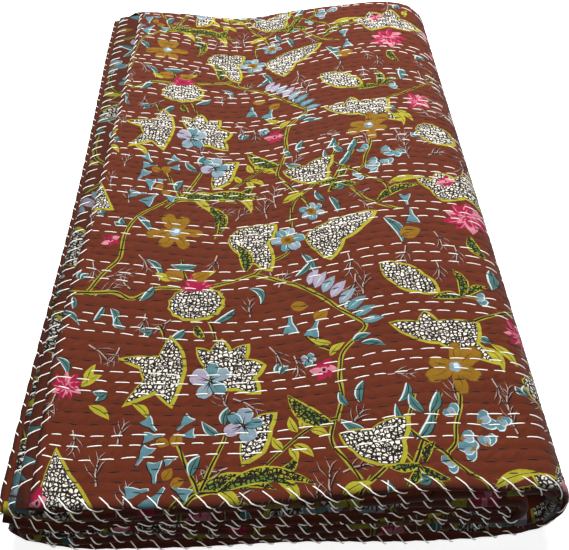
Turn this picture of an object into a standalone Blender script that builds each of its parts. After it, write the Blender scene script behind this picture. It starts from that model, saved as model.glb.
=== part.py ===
"""Kantha quilt folded in four both ways, lying on a flat surface.

Metres, +Z up. X runs across the pile to the right, Y runs from its front edge to the back.
The quilt is one sheet. It is folded twice along its length, which makes a bundle of four layers,
and that bundle is folded twice across, which makes a pile of four bundles.
"""

import math

import bmesh
import bpy
from mathutils import Matrix, Vector

# Driving sizes
SHEET = 0.0027
LAYER_PITCH = 0.0034
BUNDLE_PITCH = 4 * LAYER_PITCH
UNDERSIDE = (LAYER_PITCH - SHEET) / 2.0
PILE_HEIGHT = 4 * BUNDLE_PITCH
PILE_DEPTH = 0.654

# The four bundles, in the order in which the quilt's width passes through them.
# level is the height of a bundle's middle, in bundles. start and end are places along X.
#   name               level  start    end  turn_steps
BUNDLES = (
    ("top",              3.5, -0.166, 0.1645, 8),
    ("bottom",           0.5, 0.1645, -0.169, 5),
    ("above the bottom", 1.5, -0.169, 0.151, 5),
    ("below the top",    2.5, 0.151, -0.188, 0),
)
ACROSS_STATIONS = (-0.145, -0.105, -0.065, -0.025, 0.015, 0.060, 0.105, 0.151)

# The four layers of a bundle, in the order in which the quilt's length passes through them.
# level is measured from the bundle's middle, in layers. start and end are places along Y.
#   name            level   start     end  turn_steps
LAYERS = (
    ("face layer",    1.5, -0.3275, 0.3180, 5),
    ("back layer",   -1.5, 0.3180, -0.3240, 4),
    ("inner layer",  -0.5, -0.3240, 0.3150, 4),
    ("second layer",  0.5, 0.3150, -0.3255, 0),
)
ALONG_STATIONS = (-0.290, -0.155, 0.0, 0.145, 0.272)

# How far each layer's side hem stands out to the left of its bundle's end, by layer. The columns
# are places along the hem: at the front, a fifth of the way back, at the middle and at the back.
#    front   fifth  middle    back
TOP_HEM_STEPS = (
    (-0.006, 0.000, -0.007, -0.013),
    (0.008, 0.012, 0.010, 0.011),
    (0.010, 0.013, 0.009, 0.013),
    (0.004, 0.009, 0.008, 0.012),
)
LOWER_HEM_STEPS = (
    (-0.005, -0.003, -0.008, -0.003),
    (-0.003, -0.004, -0.006, -0.001),
    (-0.004, -0.004, -0.007, -0.003),
    (-0.007, -0.006, -0.009, -0.005),
)
HEM_STEP_PLACES = (-0.326, -0.210, 0.0, 0.250)

# The uneven outline of the pile, from left to right. Heights are of its top. The ins are how far
# its front and back edges draw in towards the middle.
#      x  front_height back_height front_in back_in
OUTLINE = (
    (-0.192, 0.0465, 0.0438, 0.010, 0.001),
    (-0.140, 0.0465, 0.0438, 0.001, 0.002),
    (-0.095, 0.0485, 0.0425, 0.001, 0.005),
    (-0.030, 0.0530, 0.0400, 0.000, 0.012),
    (0.040, 0.0580, 0.0450, 0.000, 0.003),
    (0.095, 0.0615, 0.0500, 0.001, 0.000),
    (0.150, 0.0620, 0.0530, 0.002, 0.000),
    (0.192, 0.0590, 0.0490, 0.005, 0.014),
)
FRONT_BATTER = 0.005

# The bundle's three front edges, which are a hem, a fold and a hem, wander a little apart.
HEM_WANDER = 0.0014
HEM_WANDER_LENGTH = 0.19
FRONT_EDGE_STARTS = (1, 2.5)

# A hollow stays open at the front under the top bundle.
HOLLOW_HEIGHT = 0.0035
HOLLOW_MIDDLE = 0.098
HOLLOW_HALF_WIDTH = 0.055
HOLLOW_DEPTH = 0.120

# Quilting: a shallow channel along each row of running stitches, raised between the rows.
ROW_PITCH = 0.0092
ROW_CHANNEL = 0.0004
ROW_PUFF = 0.0003
FIRST_ROW = 0.013
QUILTED_COLUMNS = 13

QUILT_BROWN = (0.195, 0.042, 0.020, 1.0)


def blend(low, high, amount):
    return low + (high - low) * amount


def ease(value):
    """0 to 1 with a level start and end."""
    value = min(max(value, 0.0), 1.0)
    return value * value * (3.0 - 2.0 * value)


def fold_line(runs, pitch, stations):
    """Stations (point, heading, order) of a line that folds back on itself.

    order counts the runs: it is whole along a run, and grows by one round a turn.
    """
    line = []
    for number, (_, level, start, end, turn_steps) in enumerate(runs):
        forward = end > start
        inner = sorted(place for place in stations if min(start, end) < place < max(start, end))
        places = inner + [end] if forward else inner[::-1] + [end]
        if number == 0:
            places.insert(0, start)
        heading = Vector((1.0 if forward else -1.0, 0.0))
        line += [(Vector((place, level * pitch)), heading, number) for place in places]
        if not turn_steps:
            continue
        drop = (level - runs[number + 1][1]) * pitch
        centre = Vector((end, level * pitch - drop / 2.0))
        side = -1.0 if (drop > 0.0) == forward else 1.0
        for step in range(1, turn_steps + 1):
            turn = Matrix.Rotation(side * math.pi * step / turn_steps, 2)
            point = centre + turn @ Vector((0.0, drop / 2.0))
            line.append((point, turn @ heading, number + step / turn_steps))
    return line


ACROSS = fold_line(BUNDLES, BUNDLE_PITCH, ACROSS_STATIONS)
ALONG = fold_line(LAYERS, LAYER_PITCH, ALONG_STATIONS)


def hem_step(steps, order, y):
    """A layer's hem step at y, blended between the table's rows and its columns."""
    low = min(int(order), len(steps) - 1)
    high = min(low + 1, len(steps) - 1)
    at_places = [blend(a, b, order - low) for a, b in zip(steps[low], steps[high])]
    return between(list(zip(HEM_STEP_PLACES, at_places)), y)[0]


def between(rows, place):
    """The rows' values at a place, which is each row's first column, eased from row to row."""
    for before, after in zip(rows, rows[1:]):
        if place <= after[0]:
            amount = ease((place - before[0]) / (after[0] - before[0]))
            return [blend(a, b, amount) for a, b in zip(before[1:], after[1:])]
    return rows[-1][1:]


def settle(x, y, z):
    """The neatly folded pile's point moved to where the real, uneven pile has it.

    The underside stays flat.
    """
    front_height, back_height, front_in, back_in = between(OUTLINE, x)
    height = (z - UNDERSIDE) / (PILE_HEIGHT - 2.0 * UNDERSIDE)
    backness = ease(y / PILE_DEPTH + 0.5)
    to_front = ease(0.5 - 1.2 * y / PILE_DEPTH)
    to_back = ease(1.5 * y / PILE_DEPTH + 0.25)
    hollow = ease(1.0 - abs(x - HOLLOW_MIDDLE) / HOLLOW_HALF_WIDTH)
    hollow *= ease(1.0 - (y + PILE_DEPTH / 2.0) / HOLLOW_DEPTH)

    settled_z = height * blend(front_height, back_height, backness)
    if z > 3.0 * BUNDLE_PITCH:
        settled_z += HOLLOW_HEIGHT * hollow
    settled_y = y + to_front * (front_in + FRONT_BATTER * height) - to_back * back_in
    return Vector((x, settled_y, settled_z))


def folded(across_index, along_index, offset):
    """The folded place of a point of the flat sheet, offset from the sheet's middle.

    Between two stations along its length the sheet runs straight.
    """
    before = int(along_index)
    if along_index - before > 1e-6:
        start = folded(across_index, before, offset)
        return start.lerp(folded(across_index, before + 1, offset), along_index - before)
    stack, stack_heading, bundle = ACROSS[across_index]
    layer, layer_heading, order = ALONG[before]
    y = layer.x - offset * layer_heading.y
    rise = layer.y + offset * layer_heading.x
    if y < ALONG_STATIONS[0]:
        edge = sum(order >= first for first in FRONT_EDGE_STARTS)
        angle = 2.0 * math.pi * stack.x / HEM_WANDER_LENGTH
        y += HEM_WANDER * math.sin(angle + 2.1 * edge + 1.3 * bundle)
    x = stack.x - rise * stack_heading.y
    z = stack.y + rise * stack_heading.x
    if across_index == 0:
        x -= hem_step(TOP_HEM_STEPS, order, y)
    elif across_index == len(ACROSS) - 1:
        x -= hem_step(LOWER_HEM_STEPS, order, y)
    return settle(x, y, z)


def flat_slab():
    """The unfolded sheet as a slab. Its X and Y count the stations, and its Z is 0 or 1."""
    columns = len(ACROSS) - 1
    rows = len(ALONG) - 1
    slab = bmesh.new()
    to_counts = Matrix.Translation((columns / 2.0, rows / 2.0, 1.0)) @ Matrix.Diagonal((columns, rows, 1.0, 1.0))
    bmesh.ops.create_grid(slab, x_segments=columns, y_segments=rows, size=0.5, matrix=to_counts)
    bmesh.ops.solidify(slab, geom=slab.faces[:], thickness=1.0)
    return slab


def quilting_rows():
    """Station indexes along the face layer, with the height of the quilting at each."""
    rows = []
    count = int((PILE_DEPTH - 2.0 * FIRST_ROW) / ROW_PITCH)
    for half_row in range(2 * count + 1):
        y = -PILE_DEPTH / 2.0 + FIRST_ROW + half_row * ROW_PITCH / 2.0
        for index in range(len(ALONG) - 1):
            start, end = ALONG[index][0].x, ALONG[index + 1][0].x
            if ALONG[index + 1][2] == 0 and start <= y < end:
                height = ROW_PUFF if half_row % 2 else -ROW_CHANNEL
                rows.append((index + (y - start) / (end - start), height))
    return rows


def cut_rows(slab, rows):
    """Cuts the slab's upper face across the quilted columns at each row of the quilting."""
    last_row = rows[-1][0]
    for place, _ in rows:
        region = [
            face for face in slab.faces
            if face.normal.z > 0.5
            and face.calc_center_median().x < QUILTED_COLUMNS
            and face.calc_center_median().y < last_row + 1.0
        ]
        geometry = region + list({edge for face in region for edge in face.edges})
        geometry += list({vertex for face in region for vertex in face.verts})
        bmesh.ops.bisect_plane(slab, geom=geometry, plane_co=(0.0, place, 0.0), plane_no=(0.0, 1.0, 0.0))


def split_squares(slab):
    """Splits the slab's squares so that layers lying on each other bend along the same lines."""
    for face in [face for face in slab.faces if len(face.verts) == 4 and abs(face.normal.z) > 0.5]:
        middle = face.calc_center_median()
        across_heading = ACROSS[int(middle.x) + 1][1].x
        along_heading = ALONG[int(middle.y) + 1][1].x
        side = 1.0 if across_heading * along_heading >= 0.0 else -1.0
        corners = sorted(face.verts, key=lambda vertex: vertex.co.x + side * vertex.co.y)
        bmesh.utils.face_split(face, corners[0], corners[-1])


def fan_border(slab):
    """Fans out each face that has the rows' ends along one side and two corners on the other."""
    for face in [face for face in slab.faces if len(face.verts) > 4]:
        by_row = sorted(face.verts, key=lambda vertex: vertex.co.y)
        left = min(vertex.co.x for vertex in by_row)
        if face.normal.z > 0.5:
            ends = [vertex for vertex in by_row if vertex.co.x < left + 0.5]
        else:
            ends = [vertex for vertex in by_row if vertex.co.z > 0.5]
        low, high = [vertex for vertex in by_row if vertex not in ends]
        middle = len(ends) // 2
        for number, (first, second) in enumerate(zip(ends, ends[1:])):
            slab.faces.new((first, low if number < middle else high, second))
        slab.faces.new((ends[middle], low, high))
        slab.faces.remove(face)


def build_quilt(collection):
    slab = flat_slab()
    slab.normal_update()
    rows = quilting_rows()
    cut_rows(slab, rows)
    split_squares(slab)
    fan_border(slab)
    quilting = {round(place, 4): height for place, height in rows}
    for vertex in slab.verts:
        across_index, along_index, face_side = round(vertex.co.x), vertex.co.y, vertex.co.z
        offset = SHEET / 2.0 if face_side > 0.5 else -SHEET / 2.0
        if face_side > 0.5 and 0 < across_index < QUILTED_COLUMNS:
            offset += quilting.get(round(along_index, 4), 0.0)
        vertex.co = folded(across_index, along_index, offset)
    low = Vector([min(vertex.co[axis] for vertex in slab.verts) for axis in range(3)])
    high = Vector([max(vertex.co[axis] for vertex in slab.verts) for axis in range(3)])
    middle = (low + high) / 2.0
    bmesh.ops.translate(slab, verts=slab.verts, vec=(-middle.x, -middle.y, -low.z))
    bmesh.ops.recalc_face_normals(slab, faces=slab.faces)

    mesh = bpy.data.meshes.new("quilt")
    slab.to_mesh(mesh)
    slab.free()
    mesh.shade_smooth()
    mesh.set_sharp_from_angle(angle=math.radians(40.0))
    quilt = bpy.data.objects.new("quilt", mesh)
    collection.objects.link(quilt)
    return quilt


def cloth_material():
    material = bpy.data.materials.new("brown printed cotton")
    material.use_nodes = True
    shader = material.node_tree.nodes["Principled BSDF"]
    shader.inputs["Base Color"].default_value = QUILT_BROWN
    shader.inputs["Roughness"].default_value = 0.9
    shader.inputs["Metallic"].default_value = 0.0
    return material


def main():
    for leftover in list(bpy.data.objects):
        bpy.data.objects.remove(leftover, do_unlink=True)
    collection = bpy.data.collections.new("kantha quilt")
    bpy.context.scene.collection.children.link(collection)
    quilt = build_quilt(collection)
    quilt.data.materials.append(cloth_material())


main()
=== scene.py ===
"""Folded kantha quilt: printed cotton with running stitches and whip-stitched hems, in a studio.

Run as a script, or read as an add-on. Metres, +Z up. The cloth is drawn flat first: u runs across
the quilt from its left hem and v runs along it from its front hem. Then it is folded.
"""

import math

import bpy
import numpy as np
from mathutils import Matrix, Vector
from mathutils.geometry import delaunay_2d_cdt


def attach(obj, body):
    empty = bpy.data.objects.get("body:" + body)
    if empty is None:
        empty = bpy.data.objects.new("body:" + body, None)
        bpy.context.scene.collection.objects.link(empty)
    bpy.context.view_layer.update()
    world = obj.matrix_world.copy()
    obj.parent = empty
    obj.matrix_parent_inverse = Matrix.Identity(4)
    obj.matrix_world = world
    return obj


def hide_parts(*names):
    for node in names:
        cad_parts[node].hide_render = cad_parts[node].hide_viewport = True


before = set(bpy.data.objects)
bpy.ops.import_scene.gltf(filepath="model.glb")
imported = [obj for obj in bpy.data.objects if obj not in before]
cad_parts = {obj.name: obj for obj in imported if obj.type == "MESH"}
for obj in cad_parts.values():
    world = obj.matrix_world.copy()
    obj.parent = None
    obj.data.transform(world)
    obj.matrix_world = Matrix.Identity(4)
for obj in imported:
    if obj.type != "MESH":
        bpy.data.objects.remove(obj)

bl_info = {
    "name": "Folded kantha quilt",
    "version": (1, 0, 0),
    "blender": (4, 5, 0),
    "location": "View3D > Sidebar > Quilt",
    "description": "Builds a folded, hand-stitched kantha quilt and a studio around it",
    "category": "Add Mesh",
}

NODE = "quilt"

# ---- How the sheet is folded: the same places as in the solid ----
LAYER_PITCH = 0.0034
SOLID_SHEET = 0.0027
UNDERSIDE = (LAYER_PITCH - SOLID_SHEET) / 2.0
BUNDLE_PITCH = 4 * LAYER_PITCH
PILE_HEIGHT = 4 * BUNDLE_PITCH
PILE_DEPTH = 0.654

#    name               level  start    end
BUNDLES = (
    ("top",              3.5, -0.166, 0.1645),
    ("bottom",           0.5, 0.1645, -0.169),
    ("above the bottom", 1.5, -0.169, 0.151),
    ("below the top",    2.5, 0.151, -0.188),
)
#    name            level   start     end
LAYERS = (
    ("face layer",    1.5, -0.3275, 0.3180),
    ("back layer",   -1.5, 0.3180, -0.3240),
    ("inner layer",  -0.5, -0.3240, 0.3150),
    ("second layer",  0.5, 0.3150, -0.3255),
)

# How far each layer's side hem stands out to the left of its bundle's end, by layer.
#    front   fifth  middle    back
TOP_HEM_STEPS = (
    (-0.006, 0.000, -0.007, -0.013),
    (0.008, 0.012, 0.010, 0.011),
    (0.010, 0.013, 0.009, 0.013),
    (0.004, 0.009, 0.008, 0.012),
)
LOWER_HEM_STEPS = (
    (-0.005, -0.003, -0.008, -0.003),
    (-0.003, -0.004, -0.006, -0.001),
    (-0.004, -0.004, -0.007, -0.003),
    (-0.007, -0.006, -0.009, -0.005),
)
HEM_STEP_PLACES = (-0.326, -0.210, 0.0, 0.250)
HEM_STEP_START = -0.145

# The uneven outline of the pile, from left to right.
#      x  front_height back_height front_in back_in
OUTLINE = (
    (-0.192, 0.0465, 0.0438, 0.010, 0.001),
    (-0.140, 0.0465, 0.0438, 0.001, 0.002),
    (-0.095, 0.0485, 0.0425, 0.001, 0.005),
    (-0.030, 0.0530, 0.0400, 0.000, 0.012),
    (0.040, 0.0580, 0.0450, 0.000, 0.003),
    (0.095, 0.0615, 0.0500, 0.001, 0.000),
    (0.150, 0.0620, 0.0530, 0.002, 0.000),
    (0.192, 0.0590, 0.0490, 0.005, 0.014),
)
FRONT_BATTER = 0.005
HEM_WANDER = 0.0014
HEM_WANDER_LENGTH = 0.19
WANDER_START = -0.290
WANDER_EASE = 0.0375
HOLLOW_HEIGHT = 0.0035
HOLLOW_MIDDLE = 0.098
HOLLOW_HALF_WIDTH = 0.055
HOLLOW_DEPTH = 0.120
HOLLOW_START = 2.95
UNDULATION = 0.0007

# The cloth as it looks
CLOTH = 0.0030
HEM_RADIUS = 0.0015
ROW_PITCH = 0.0092
FIRST_ROW = 0.0100
ROW_WAVE = 0.019
ROW_WAVE_START = 0.16
ROW_WAVE_MIDDLE = 0.136
ROW_WAVE_LENGTH = 0.270
ROWS_REPEAT = 6
BROWN_ROWS = 3
DASH_PITCH = 0.0142
DASH_LENGTH = 0.0092
THREAD = 0.00046
WHIP_PITCH = 0.0150
SIDE_WHIP_PITCH = 0.0120
END_LEAN = 1.0
SIDE_LEAN = -1.0
HEM_DRAW = 0.0007
HEM_THIN = 0.22
HEM_PINCH = 0.006


def ease(value):
    """0 to 1 with a level start and end."""
    value = np.clip(value, 0.0, 1.0)
    return value * value * (3.0 - 2.0 * value)


def smooth_rows(rows, places):
    """The table's columns at these places, on smooth curves through its rows."""
    rows = np.array(rows)
    knots, values = rows[:, 0], rows[:, 1:]
    slopes = np.gradient(values, knots, axis=0)
    places = np.clip(places, knots[0], knots[-1])
    row = np.clip(np.searchsorted(knots, places, side="right") - 1, 0, len(knots) - 2)
    width = (knots[row + 1] - knots[row])[:, None]
    part = (places - knots[row])[:, None] / width
    first, second = values[row], values[row + 1]
    bend = part * part * (3.0 - 2.0 * part)
    lean = part * (1.0 - part)
    return (
        first + (second - first) * bend
        + width * lean * ((1.0 - part) * slopes[row] - part * slopes[row + 1])
    )


def fold_line(runs, pitch):
    """The straight runs and half turns of a line that folds back on itself, and its length."""
    pieces = []
    reached = 0.0
    for number, (_, level, start, end) in enumerate(runs):
        forward = 1.0 if end > start else -1.0
        length = abs(end - start)
        pieces.append((reached, length, start, level * pitch, forward, 0.0, number))
        reached += length
        if number + 1 < len(runs):
            rise = (runs[number + 1][1] - level) * pitch
            length = math.pi * abs(rise) / 2.0
            pieces.append((reached, length, end, level * pitch + rise / 2.0, forward, rise, number))
            reached += length
    return pieces, reached


ACROSS, QUILT_WIDTH = fold_line(BUNDLES, BUNDLE_PITCH)
ALONG, QUILT_LENGTH = fold_line(LAYERS, LAYER_PITCH)


def stretch_of(pieces, number, turn):
    """The start and end of a run, or of the turn after it."""
    for reached, long, _, _, _, rise, run in pieces:
        if run == number and (rise != 0.0) == turn:
            return reached, reached + long


# The folds that show, and how much of the sheet lies outside. Its other face shows past
# STRIP_START.
LEFT_FOLD = stretch_of(ACROSS, 1, True)
BACK_FOLD = stretch_of(ALONG, 0, True)
FRONT_FOLD = stretch_of(ALONG, 1, True)
FOLD_MARGIN = 0.004
SHOWN_WIDTH = stretch_of(ACROSS, 0, True)[1] + FOLD_MARGIN
SHOWN_LENGTH = BACK_FOLD[1] + FOLD_MARGIN
STRIP_START = 1.94


def on_line(pieces, lengths):
    """(place, height, heading along, heading up, order) at each length along a folded line."""
    found = np.zeros((5, len(lengths)))
    for reached, length, start, level, forward, rise, number in pieces:
        inside = lengths >= reached
        part = lengths[inside] - reached
        if rise == 0.0:
            found[0, inside] = start + forward * part
            found[1, inside] = level
            found[2, inside] = forward
            found[3, inside] = 0.0
            found[4, inside] = number
            continue
        angle = math.pi * part / length
        found[0, inside] = start + forward * abs(rise) / 2.0 * np.sin(angle)
        found[1, inside] = level - rise / 2.0 * np.cos(angle)
        found[2, inside] = forward * np.cos(angle)
        found[3, inside] = math.copysign(1.0, rise) * np.sin(angle)
        found[4, inside] = number + part / length
    return found


def hem_steps(steps, order, y):
    """Each layer's hem step at y, blended from layer to layer."""
    table = smooth_rows(np.column_stack([HEM_STEP_PLACES, np.transpose(steps)]), y)
    low = np.clip(order.astype(int), 0, len(steps) - 1)
    high = np.minimum(low + 1, len(steps) - 1)
    rows = np.arange(len(y))
    return table[rows, low] + (table[rows, high] - table[rows, low]) * (order - low)


def settle(x, y, z):
    """The neatly folded pile's points moved to where the real, uneven pile has them."""
    front_height, back_height, front_in, back_in = smooth_rows(OUTLINE, x).T
    height = (z - UNDERSIDE) / (PILE_HEIGHT - 2.0 * UNDERSIDE)
    backness = ease(y / PILE_DEPTH + 0.5)
    to_front = ease(0.5 - 1.2 * y / PILE_DEPTH)
    to_back = ease(1.5 * y / PILE_DEPTH + 0.25)
    hollow = ease(1.0 - np.abs(x - HOLLOW_MIDDLE) / HOLLOW_HALF_WIDTH)
    hollow *= ease(1.0 - (y + PILE_DEPTH / 2.0) / HOLLOW_DEPTH)
    settled_z = height * (front_height + (back_height - front_height) * backness)
    settled_z += HOLLOW_HEIGHT * hollow * ease((z / BUNDLE_PITCH - HOLLOW_START) / 0.1)
    settled_z += height ** 3 * undulation(x, y)
    settled_y = y + to_front * (front_in + FRONT_BATTER * height) - to_back * back_in
    return np.stack([x, settled_y, settled_z], axis=1)


def undulation(x, y):
    """Long, low waves of a hand-folded pile."""
    waves = 0.5 * np.sin(34.0 * x + 21.0 * y + 0.6) + 0.35 * np.sin(-27.0 * x + 46.0 * y + 2.0)
    waves += 0.3 * np.sin(71.0 * x + 12.0 * y + 4.0) * np.sin(38.0 * y + 1.0)
    return UNDULATION * waves


def folded(u, v, offset):
    """Points of the flat sheet at u and v, offset from its middle, in the pile."""
    x, z, x_heading, z_heading, bundle = on_line(ACROSS, u)
    y, rise, y_heading, rise_heading, order = on_line(ALONG, v)
    y = y - offset * rise_heading
    rise = rise + offset * y_heading
    edge = (order >= 1.0).astype(float) + (order >= 2.5)
    wander = np.sin(2.0 * math.pi * x / HEM_WANDER_LENGTH + 2.1 * edge + 1.3 * bundle)
    y = y + HEM_WANDER * wander * np.clip((WANDER_START - y) / WANDER_EASE, 0.0, 1.0)
    left = HEM_STEP_START - x
    x = x - rise * z_heading
    z = z + rise * x_heading
    top_share = np.clip(left / (HEM_STEP_START - BUNDLES[0][2]), 0.0, 1.0) * (bundle < 0.5)
    low_share = np.clip(left / (HEM_STEP_START - BUNDLES[3][3]), 0.0, 1.0) * (bundle > 2.5)
    x = x - top_share * hem_steps(TOP_HEM_STEPS, order, y)
    x = x - low_share * hem_steps(LOWER_HEM_STEPS, order, y)
    return settle(x, y, z)


# ---- The quilting's relief ----
# Heights and widths in metres: the channel along a row, the hole at a dash's end, the puffs
# between rows, and the creases beside a row.
CHANNEL_DEPTH, CHANNEL_WIDTH = 0.00030, 0.0013
HOLE_DEPTH, HOLE_WIDTH = 0.00018, 0.0011
PUFF_HEIGHT, PUFF_EDGE = 0.00019, 0.0026
PUFF_LENGTH, LONG_PUFF_LENGTH = 0.0093, 0.0231
CREASE_HEIGHT, CREASE_PLACE, CREASE_WIDTH = 0.00009, 0.0024, 0.0016
SHOWN_EASE_ACROSS, SHOWN_EASE_ALONG = 0.010, 0.004
NORMAL_STEP = 0.0003


def row_shift(u, row):
    """How far a hand-sewn row strays from the line that its neighbours follow too."""
    stray = 0.0006 * np.sin(43.0 * u + 0.9 * row) + 0.0004 * np.sin(109.0 * u + 2.3 * row)
    return stray + 0.0007 * np.sin(2.4 * row * row + 0.7)


def row_wave(u, v):
    """How far all the rows near v have drifted to the front at u, as the sewer's hand wandered."""
    wave = 0.5 + 0.5 * np.cos(2.0 * math.pi * (u - ROW_WAVE_MIDDLE) / ROW_WAVE_LENGTH)
    return ROW_WAVE * ease(v / ROW_WAVE_START) * wave


def drifted(u, level):
    """Where something sewn or printed at a level lies at u, once it has drifted to the front."""
    v = level
    for _ in range(6):
        v = level - row_wave(u, v)
    return v


def row_place(u, count):
    """Where on the flat sheet the rows lie at u. count is in rows, and may fall between two."""
    return drifted(u, FIRST_ROW + count * ROW_PITCH)


def dash_phase(row):
    """Where a row's dashes start, different for each row."""
    return (0.61803 * row * row + 0.37 * row) % 1.0


def quilting(u, v):
    """The height of the quilted surface: a channel along each row and puffs between the rows."""
    level = v + row_wave(u, v) - FIRST_ROW
    row = np.clip(np.round(level / ROW_PITCH), 0.0, None)
    away = level - row * ROW_PITCH - row_shift(u, row)
    step = (u / DASH_PITCH + dash_phase(row)) % 1.0
    on_top = ease(8.0 * (DASH_LENGTH / DASH_PITCH - step)) * ease(8.0 * step)
    end = np.minimum(np.abs(step), np.abs(step - DASH_LENGTH / DASH_PITCH)) * DASH_PITCH
    height = -CHANNEL_DEPTH * np.exp(-(away / CHANNEL_WIDTH) ** 2) * (0.5 + 0.5 * on_top)
    height -= HOLE_DEPTH * np.exp(-(end / HOLE_WIDTH) ** 2 - (away / HOLE_WIDTH) ** 2)
    swell = 2.4 * row + 2.0 * np.sin(31.0 * v + 57.0 * u)
    uneven = np.sin(2.0 * math.pi * u / PUFF_LENGTH + swell)
    uneven += 0.6 * np.sin(2.0 * math.pi * u / LONG_PUFF_LENGTH - 1.7 * row)
    height += PUFF_HEIGHT * (1.0 - np.exp(-(away / PUFF_EDGE) ** 2)) * (1.0 + 0.45 * uneven)
    height += CREASE_HEIGHT * uneven * np.exp(-((np.abs(away) - CREASE_PLACE) / CREASE_WIDTH) ** 2)
    return height


def whip_pinch(place, into, pitch, lean):
    """How much each whip stitch draws in and thins the hem, at a distance into it."""
    near = np.exp(-(into / HEM_PINCH) ** 2)
    return near * (0.5 + 0.5 * np.cos(2.0 * math.pi * (place + lean * into) / pitch)) ** 2


def sheet_surface(side, a, b):
    """Points on one side of the sheet. a and b measure over its surface, round its hems too."""
    a = np.clip(a, 0.0, QUILT_WIDTH)
    b = np.clip(b, 0.0, QUILT_LENGTH)
    from_side = np.minimum(a, QUILT_WIDTH - a)
    from_end = np.minimum(b, QUILT_LENGTH - b)
    thickness = np.full(len(a), CLOTH / 2.0)
    u, v = a.copy(), b.copy()
    for flat, into, length in ((u, from_side, QUILT_WIDTH), (v, from_end, QUILT_LENGTH)):
        angle = np.clip(into / HEM_RADIUS, 0.0, 1.0) * math.pi / 2.0
        shift = HEM_RADIUS * (1.0 - np.cos(angle)) - np.minimum(into, HEM_RADIUS)
        flat += np.where(flat < length / 2.0, shift, -shift)
        thickness *= np.sin(angle)
    end_pinch = whip_pinch(a, from_end, WHIP_PITCH, END_LEAN)
    side_pinch = whip_pinch(b, from_side, SIDE_WHIP_PITCH, SIDE_LEAN)
    v += np.where(v < QUILT_LENGTH / 2.0, 1.0, -1.0) * HEM_DRAW * end_pinch
    u += np.where(u < QUILT_WIDTH / 2.0, 1.0, -1.0) * HEM_DRAW * side_pinch
    thickness *= 1.0 - HEM_THIN * np.clip(end_pinch + side_pinch, 0.0, 1.0)
    fade = ease(np.minimum(from_side, from_end) / HEM_PINCH)
    relief = quilting(a, b) * fade * shown_relief(side, a, b)
    return folded(u, v, side * (thickness + relief))


def shown_relief(side, a, b):
    """1 where the sheet's side is the pile's outside, easing to 0 inside the pile."""
    if side < 0:
        return np.zeros(len(a))
    outer_width = LEFT_FOLD[1] - FOLD_MARGIN
    across = ease((outer_width - a) / SHOWN_EASE_ACROSS)
    return across * ease((BACK_FOLD[1] - b) / SHOWN_EASE_ALONG)


def surface_normals(side, a, b):
    """Outward normals of one side of the sheet."""
    west, east = (np.clip(a + step, 0.0, QUILT_WIDTH) for step in (-NORMAL_STEP, NORMAL_STEP))
    south, north = (np.clip(b + step, 0.0, QUILT_LENGTH) for step in (-NORMAL_STEP, NORMAL_STEP))
    along_a = sheet_surface(side, east, b) - sheet_surface(side, west, b)
    along_b = sheet_surface(side, a, north) - sheet_surface(side, a, south)
    normals = side * np.cross(along_a, along_b)
    return normals / np.maximum(np.linalg.norm(normals, axis=1, keepdims=True), 1e-12)


# ---- The print, charted in millimetres on the top of the pile: x to the right, y to the back ----
CHART_LEFT = 165.5
CHART_FRONT = 317.8
CHART_STRETCH = 1.01
REPEAT_X = 405.0
REPEAT_Y = 302.0
REPEAT_LEAN = -30.0
SPRIG_SEED = 11
SPRIG_TRIES = 1500
SPRIG_BOX = ((-205, -310), (200, -8))
SPRIG_GAP = 7.5
SPRIG_ROOM = 7.0
TWIG_SHARE = 0.75

INKS = (
    # name            colour as it looks
    ("ground",        "562412"),
    ("leaf rim",      "958E26"),
    ("stem",          "8A8326"),
    ("black",         "1A120F"),
    ("leaf green",    "54702A"),
    ("leaf net",      "8A8C28"),
    ("dark leaf",     "3C605E"),
    ("teal",          "4E727A"),
    ("pale blue",     "AEC2C4"),
    ("grey blue",     "74858F"),
    ("lavender",      "8F8798"),
    ("mustard",       "7C5811"),
    ("ochre",         "563A0E"),
    ("crimson",       "8C1238"),
    ("pink",          "B8707F"),
    ("twig",          "A08A82"),
    ("crackle",       "DCD5C9"),
)
INK = {name: number for number, (name, _) in enumerate(INKS)}
CRACKLED = ("crackle", "leaf green", "leaf net")

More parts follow.
